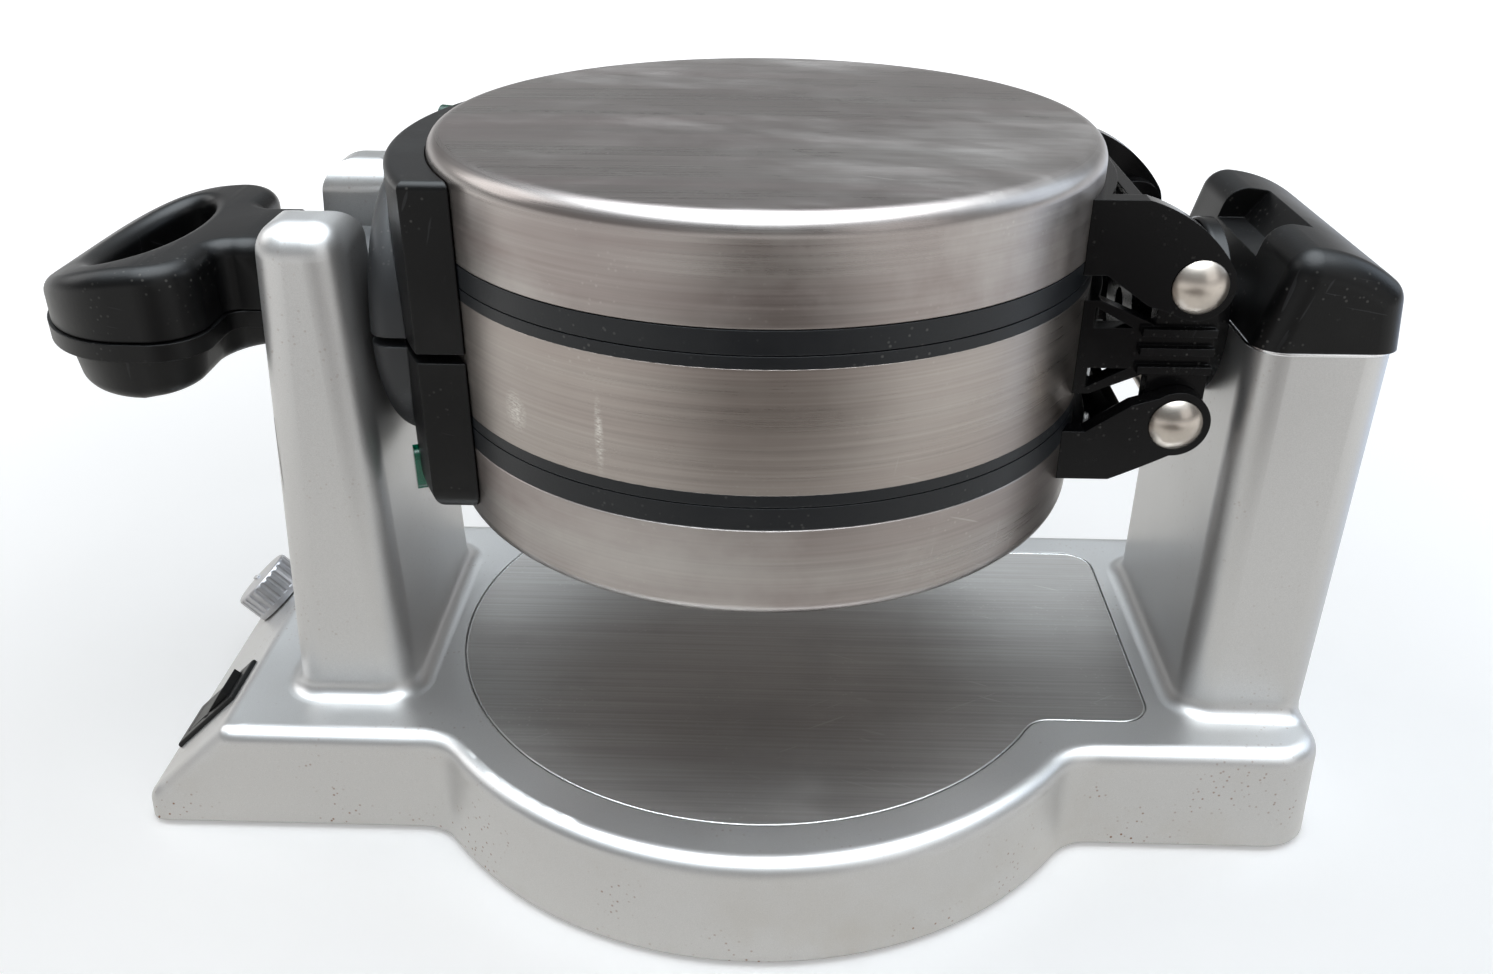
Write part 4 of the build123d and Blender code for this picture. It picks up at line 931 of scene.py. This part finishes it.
@dataclass
class PanHeadScrews(SubAssembly):
    """Cross-head screws round the feet of the rear brackets."""

    seat: float = 3.4
    head_radius: float = 3.4
    head_height: float = 2.2
    dome_inset: float = 0.7
    second_inset: float = 1.4
    dome_rise: float = 0.35
    cross_length: float = 3.8
    cross_width: float = 0.75
    cross_depth: float = 1.3
    cross_taper: float = 0.6
    facets: int = 32
    lid_height: float = 33.0
    lid_angles: tuple[float, ...] = (-12.0, 12.0)
    pivot_angles: tuple[float, ...] = (-13.5, 0.0, 13.5)

    def slot(self, top: Vector, along: float, up: float) -> Piece:
        """Makes one arm of the cross, which narrows towards its bottom.

        Args:
            top: the middle of the head's face.
            along: the arm's size along Y.
            up: its size along Z.

        Returns:
            The arm, to be carved out.
        """
        bpy.ops.object.select_all(action="DESELECT")
        bpy.ops.mesh.primitive_cube_add(size=MM, location=top)
        bpy.ops.transform.resize(value=(2 * self.cross_depth, along, up))
        arm = self.settle()
        self.pick(arm, Pick.FACES, lambda middle, normal: normal.x < -FACING)
        bpy.ops.transform.resize(value=(1, self.cross_taper, self.cross_taper))
        self.leave()
        return arm

    def head(self, height: float) -> Piece:
        """Makes one head at the middle of the rear wall.

        Args:
            height: how far it is over the turning axis.

        Returns:
            The head with its dome and its cross.
        """
        low = self.stack_radius + self.seat
        rise = self.head_height - 2 * self.dome_rise
        bpy.ops.object.select_all(action="DESELECT")
        bpy.ops.mesh.primitive_cylinder_add(
            vertices=self.facets,
            radius=self.head_radius * MM,
            depth=rise * MM,
            location=self.place(low + rise / 2, 0, height),
            rotation=(0, math.pi / 2, 0),
        )
        head = self.settle()
        for inset in (self.dome_inset, self.second_inset * self.dome_inset):
            self.pick(head, Pick.FACES, lambda middle, normal: normal.x > FACING and middle.x > 0)
            bpy.ops.mesh.inset(thickness=inset * MM, depth=self.dome_rise * MM)
            self.leave()
        top = self.place(low + self.head_height, 0, height)
        self.carve(head, self.slot(top, self.cross_length, self.cross_width))
        self.carve(head, self.slot(top, self.cross_width, self.cross_length))
        return head

    def ring(self, angles: Sequence[float], height: float) -> Piece:
        """Sets heads round the stack.

        Args:
            angles: where they stand, in degrees from the rear.
            height: how far they are over the turning axis.

        Returns:
            The heads, joined into one piece.
        """
        model = self.head(height)
        heads = []
        for angle in angles:
            self.copied(model)
            turn = math.radians(angle)
            middle = self.place(0, 0, height)
            bpy.ops.transform.rotate(value=turn, orient_axis="Z", center_override=middle)
            heads.append(self.settle())
        bpy.data.objects.remove(model)
        return self.joined(heads)

    def build(self) -> list[Piece]:
        """Makes the pair on each lid's bracket and the three on the pivot's bracket.

        Returns:
            The two pairs and the three.
        """
        upper = self.ring(self.lid_angles, self.lid_height)
        lower = self.ring(self.lid_angles, -self.lid_height)
        trio = self.ring(self.pivot_angles, 0.0)
        return [
            self.hand_over(upper, "screws_upper_bracket", DULL_STEEL, "upper_lid", "bracket_screws_upper"),
            self.hand_over(lower, "screws_lower_bracket", DULL_STEEL, "lower_lid", "bracket_screws_lower"),
            self.hand_over(trio, "screws_pivot_bracket", DULL_STEEL, "unit", "pivot_bracket_screws"),
        ]


@dataclass
class PostRim(SubAssembly):
    """Rim round the top of the rear post, just under its cap, in a lighter silver that is a painted
    highlight.
    """

    front: float = 144.5
    rear: float = 187.0
    half_width: float = 49.5
    corner: float = 10.5
    proud: float = 0.4
    low: float = 2.2
    high: float = 3.5
    softness: float = 0.3
    corner_steps: int = 10

    def build(self) -> list[Piece]:
        """Cuts the rim's corners round and gives it its height and soft edges.

        Returns:
            The rim.
        """
        middle = self.place((self.front + self.rear) / 2, 0, self.low)
        bpy.ops.object.select_all(action="DESELECT")
        bpy.ops.mesh.primitive_plane_add(size=MM, location=middle)
        length = self.rear - self.front + 2 * self.proud
        bpy.ops.transform.resize(value=(length, 2 * (self.half_width + self.proud), 1))
        rim = self.settle()
        self.edit()
        corner = (self.corner + self.proud) * MM
        bpy.ops.mesh.bevel(offset=corner, segments=self.corner_steps, affect="VERTICES")
        bpy.ops.mesh.select_all(action="SELECT")
        rise = (self.high - self.low) * MM
        bpy.ops.mesh.extrude_region_move(TRANSFORM_OT_translate={"value": (0, 0, rise)})
        bpy.ops.mesh.select_all(action="SELECT")
        bpy.ops.mesh.normals_make_consistent(inside=False)
        self.leave()
        self.pick(rim, Pick.EDGES, lambda middle, run: abs(run.z) < ACROSS)
        bpy.ops.mesh.bevel(offset=self.softness * MM, segments=2)
        self.leave()
        return [self.hand_over(rim, "post_rim", PAINTED_HIGHLIGHT_SILVER, "base", angle=50)]


@dataclass
class CornerRibs(SubAssembly):
    """Ribs inside the two outer corners of the front support, which close the moulding there."""

    foot_x: float = -159.4
    top_x: float = -148.6
    foot_z: float = -132.7
    top_z: float = 36.0
    half_width: float = 49.5
    corner: float = 10.5
    skin: float = 0.1
    middle_z: float = -39.0
    length: float = 42.0
    depth: float = 5.0
    facets: int = 128

    def build(self) -> list[Piece]:
        """Stands a round bar in each corner along its lean and cuts its inner part away.

        Returns:
            The two ribs, joined into one piece.
        """
        lean = math.atan2(self.top_x - self.foot_x, self.top_z - self.foot_z)
        share = (self.middle_z - self.foot_z) / (self.top_z - self.foot_z)
        front = self.foot_x + share * (self.top_x - self.foot_x)
        ribs = []
        for side in (-1, 1):
            middle = self.place(front + self.corner / math.cos(lean), 0, self.middle_z)
            middle.y = side * (self.half_width - self.corner) * MM
            bpy.ops.object.select_all(action="DESELECT")
            bpy.ops.mesh.primitive_cylinder_add(
                vertices=self.facets,
                radius=(self.corner - self.skin) * MM,
                depth=self.length * MM,
                location=middle,
                rotation=(0, lean, 0),
            )
            rib = self.settle()
            outwards = Vector((-math.cos(lean), side, math.sin(lean))).normalized()
            self.edit()
            cut = middle + outwards * (self.corner - self.depth) * MM
            bpy.ops.mesh.bisect(plane_co=cut, plane_no=outwards, use_fill=True, clear_inner=True)
            self.leave()
            ribs.append(rib)
        return [self.hand_over(self.joined(ribs), "corner_ribs", SILVER, "base")]


@dataclass
class InlayEdge(SubAssembly):
    """Rolled edge of the steel plate that is let into the base, in a lighter steel that is a painted
    highlight.
    """

    bead_radius: float = 0.3
    drop: float = 0.2
    face_depth: float = 0.1

    def build(self) -> list[Piece]:
        """Traces the rim of the plate's top face and rolls it into a thin bead.

        Returns:
            The bead.
        """
        plate = self.node_copy("inlay_plate")
        top = max(corner[2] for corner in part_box("inlay_plate"))
        low = top - self.face_depth * MM
        self.pick(plate, Pick.FACES, lambda middle, normal: normal.z > FACING and middle.z > low)
        bpy.ops.mesh.region_to_loop()
        bpy.ops.mesh.select_mode(type="EDGE")
        bpy.ops.mesh.select_all(action="INVERT")
        bpy.ops.mesh.delete(type="EDGE")
        bpy.ops.mesh.select_all(action="SELECT")
        bpy.ops.transform.translate(value=(0, 0, -self.drop * MM))
        self.leave()
        bpy.ops.object.convert(target="CURVE")
        bead = bpy.context.object
        bead.data.bevel_depth = self.bead_radius * MM
        bead.data.bevel_resolution = 2
        bpy.ops.object.convert(target="MESH")
        return [self.hand_over(bpy.context.object, "inlay_edge", PAINTED_HIGHLIGHT_STEEL, "base", angle=60)]


@dataclass
class HandleTop(SubAssembly):
    """Upper half of the handle with a shallow dimple on each side of its root."""

    dimple_x: float = -171.0
    dimple_y: float = 30.0
    dimple_z: float = 22.9
    dimple_radius: float = 6.0
    dimple_depth: float = 1.1
    facets: int = 48

    def build(self) -> list[Piece]:
        """Carves the two dimples out of a merged copy of the moulding.

        Returns:
            The upper half of the handle.
        """
        half = self.node_copy("handle_half_upper")
        height = self.dimple_z + self.dimple_radius - self.dimple_depth
        for side in (-1, 1):
            bpy.ops.object.select_all(action="DESELECT")
            bpy.ops.mesh.primitive_uv_sphere_add(
                segments=self.facets,
                ring_count=self.facets // 2,
                radius=self.dimple_radius * MM,
                location=self.place(self.dimple_x, side * self.dimple_y, height),
            )
            self.carve(half, self.settle())
        return [self.hand_over(half, "handle_top", BLACK, "upper_lid", "handle_half_upper", angle=28)]


@dataclass(frozen=True)
class Softbox:
    """A square lamp that faces a target, its lengths in metres and its power in watts."""

    name: str
    place: Point
    target: Point
    size: float
    power: float
    colour: Colour = (1, 1, 1)

    def hang(self) -> None:
        """Adds the lamp and turns it to its target."""
        data = bpy.data.lights.new(self.name, "AREA")
        data.size = self.size
        data.energy = self.power
        data.color = self.colour
        lamp = bpy.data.objects.new(self.name, data)
        bpy.context.scene.collection.objects.link(lamp)
        lamp.location = self.place
        ray = Vector(self.target) - Vector(self.place)
        lamp.rotation_euler = ray.to_track_quat("-Z", "Y").to_euler()


SOFTBOXES = (
    Softbox("overhead", (0.1, -0.15, 1.5), (0.02, 0, 0.15), size=1.2, power=8.0),
    Softbox("window", (-1.4, 0.3, 1.0), (0.0, 0, 0.15), size=0.9, power=6.0),
    Softbox("fill", (1.1, -1.2, 0.9), (0.02, 0, 0.12), size=1.0, power=3.0),
    Softbox("side_window", (1.3, 0.35, 0.8), (0.1, 0, 0.16), 0.8, 4.0, colour=(0.72, 0.85, 1.0)),
)


@dataclass
class Studio:
    """Pale floor, soft lamps and the camera at the photograph's angle.

    The camera's place is in millimetres, and the floor's spans are in metres. A span of the world
    is two heights on a ball round the object, from 0 at the horizon to 1 overhead.
    """

    camera_place: Point = (24.75, -405.85, 316.35)
    pitch: float = 28.473
    yaw: float = 1.332
    roll: float = 0.456
    focal_pixels: float = 1301.1
    picture_width: float = 1493.0
    sensor: float = 36.0
    clip_start: float = 0.01
    floor_size: float = 12.0
    floor_drop: float = 0.0004
    floor_colour: Colour = (0.84, 0.84, 0.84)
    gloss_warm: Colour = (0.82, 0.79, 0.74)
    gloss_right: Colour = (0.66, 0.77, 0.96)
    gloss_middle: Colour = (0.2, 0.165, 0.145)
    right_across: Span = (0.2, 0.5)
    right_ahead: Span = (-0.12, 0.08)
    near_glow: float = 0.25
    far_glow: float = 0.9
    glow_reach: Span = (0.3, 1.3)
    dim_glow: float = 0.1
    dim_reach: Span = (1.8, 1.2)
    dim_start: Span = (-0.29, -0.44)
    dim_left: Span = (-0.42, -0.08)
    dim_right: Span = (0.5, 0.25)
    horizon: float = 0.24
    middle: float = 0.38
    shoulder: float = 1.2
    overhead: float = 7.0
    ambient: float = 0.36
    horizon_span: Span = (0.02, 0.14)
    middle_span: Span = (0.16, 0.34)
    shoulder_span: Span = (0.56, 0.76)
    overhead_span: Span = (0.76, 0.92)
    sky: Colour = (0.86, 0.94, 1.0)
    sky_span: Span = (0.3, 0.7)

    def build(self) -> None:
        """Makes the floor, the world, the lamps and the camera."""
        self.floor()
        self.world()
        for softbox in SOFTBOXES:
            softbox.hang()
        self.camera()

    def floor(self) -> None:
        """Adds the pale floor, which glows more further out and keeps the object's shadow. To gloss rays
        it shows painted reflections: a warm tone, a bluish patch to the right and a dark patch of painted
        shade ahead.
        """
        bpy.ops.object.select_all(action="DESELECT")
        bpy.ops.mesh.primitive_plane_add(size=self.floor_size, location=(0, 0, -self.floor_drop))
        floor = bpy.context.object
        floor.name = "studio_floor"
        sheet = Surface("studio_floor")
        far = sheet.length(sheet.place)
        gloss = sheet.node("LightPath").outputs["Is Glossy Ray"]
        across, ahead, _ = sheet.node("SeparateXYZ", {0: sheet.place}).outputs
        # Painted reflections: what gloss rays see of the floor is darkened ahead of the object as painted
        # shade, and tinted bluish to the right.
        dim = sheet.times(sheet.ramp(far, *self.dim_reach), gloss)
        dim = sheet.times(dim, sheet.ramp(ahead, *self.dim_start))
        for side in (self.dim_left, self.dim_right):
            dim = sheet.times(dim, sheet.ramp(across, *side))
        right = sheet.ramp(across, *self.right_across)
        right = sheet.times(right, sheet.ramp(ahead, *self.right_ahead))
        shown = sheet.mix(right, self.gloss_warm, self.gloss_right)
        tone = sheet.layered(self.floor_colour, (gloss, shown), (dim, self.gloss_middle))
        glow = sheet.ramp(far, *self.glow_reach, self.near_glow, self.far_glow)
        glow = sheet.times(glow, self.seen(sheet))
        glow = sheet.times(glow, sheet.ramp(dim, 0.0, 1.0, 1.0, self.dim_glow))
        diffuse = sheet.node("BsdfDiffuse", {"Color": tone})
        shine = sheet.node("Emission", {"Color": (1, 1, 1, 1), "Strength": glow})
        sheet.show(sheet.node("AddShader", {0: diffuse.outputs[0], 1: shine.outputs[0]}))
        floor.data.materials.append(sheet.material)

    def seen(self, sheet: NodeSheet) -> Socket:
        """Finds the rays that show the background.

        Args:
            sheet: the nodes of the floor or the world.

        Returns:
            1 for rays of the camera, of gloss and of glass.
        """
        path = sheet.node("LightPath").outputs
        seen = sheet.larger(path["Is Camera Ray"], path["Is Glossy Ray"])
        return sheet.larger(seen, path["Is Transmission Ray"])

    def world(self) -> None:
        """Sets a world that is white to the camera and darker between the horizon and overhead."""
        world = bpy.data.worlds.new("studio_world")
        bpy.context.scene.world = world
        world.use_nodes = True
        world.node_tree.nodes.clear()
        sheet = NodeSheet(world.node_tree)
        camera = sheet.node("LightPath").outputs["Is Camera Ray"]
        around = sheet.node("TexCoord").outputs["Generated"]
        height = sheet.node("SeparateXYZ", {0: around}).outputs[2]
        low = sheet.ramp(height, *self.horizon_span, 1.0, self.horizon)
        low = sheet.plus(low, sheet.ramp(height, *self.middle_span, 0.0, self.middle - self.horizon))
        high = sheet.ramp(height, *self.shoulder_span, 0.0, self.shoulder)
        high = sheet.plus(high, sheet.ramp(height, *self.overhead_span, 0.0, self.overhead))
        dull = sheet.ramp(self.seen(sheet), 0.0, 1.0, self.ambient, 0.0)
        gloss = sheet.times(sheet.plus(low, high), self.seen(sheet))
        strength = sheet.larger(sheet.plus(gloss, dull), camera)
        blue = sheet.times(sheet.ramp(height, *self.sky_span), sheet.math("SUBTRACT", 1.0, camera))
        tint = sheet.mix(blue, (1.0, 1.0, 1.0), self.sky)
        back = sheet.node("Background", {"Color": tint, "Strength": strength})
        sheet.node("OutputWorld", {"Surface": back.outputs[0]})

    def camera(self) -> None:
        """Adds the camera."""
        data = bpy.data.cameras.new("camera")
        data.sensor_width = self.sensor
        data.lens = self.focal_pixels / self.picture_width * self.sensor
        data.clip_start = self.clip_start
        camera = bpy.data.objects.new("camera", data)
        bpy.context.scene.collection.objects.link(camera)
        turn = Matrix.Rotation(math.radians(self.yaw), 4, "Z")
        tilt = Matrix.Rotation(math.radians(90 - self.pitch), 4, "X")
        roll = Matrix.Rotation(math.radians(self.roll), 4, "Z")
        camera.matrix_world = Matrix.Translation(Vector(self.camera_place) * MM) @ turn @ tilt @ roll
        bpy.context.scene.camera = camera


def main() -> None:
    """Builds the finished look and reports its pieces."""
    logging.basicConfig(level=logging.INFO, format="%(message)s")
    build_effects()
    dress_frame()
    LOG.info("CAD nodes dressed: %d", len(frame["nodes"]))
    assemblies = (LidCovers(), PanHeadScrews(), PostRim(), CornerRibs(), InlayEdge(), HandleTop())
    for assembly in assemblies:
        for piece in assembly.build():
            LOG.info("%s: %d faces", piece.name, len(piece.data.polygons))
    Studio().build()
    bpy.context.scene.view_settings.view_transform = "Standard"


if __name__ == "__main__":
    main()
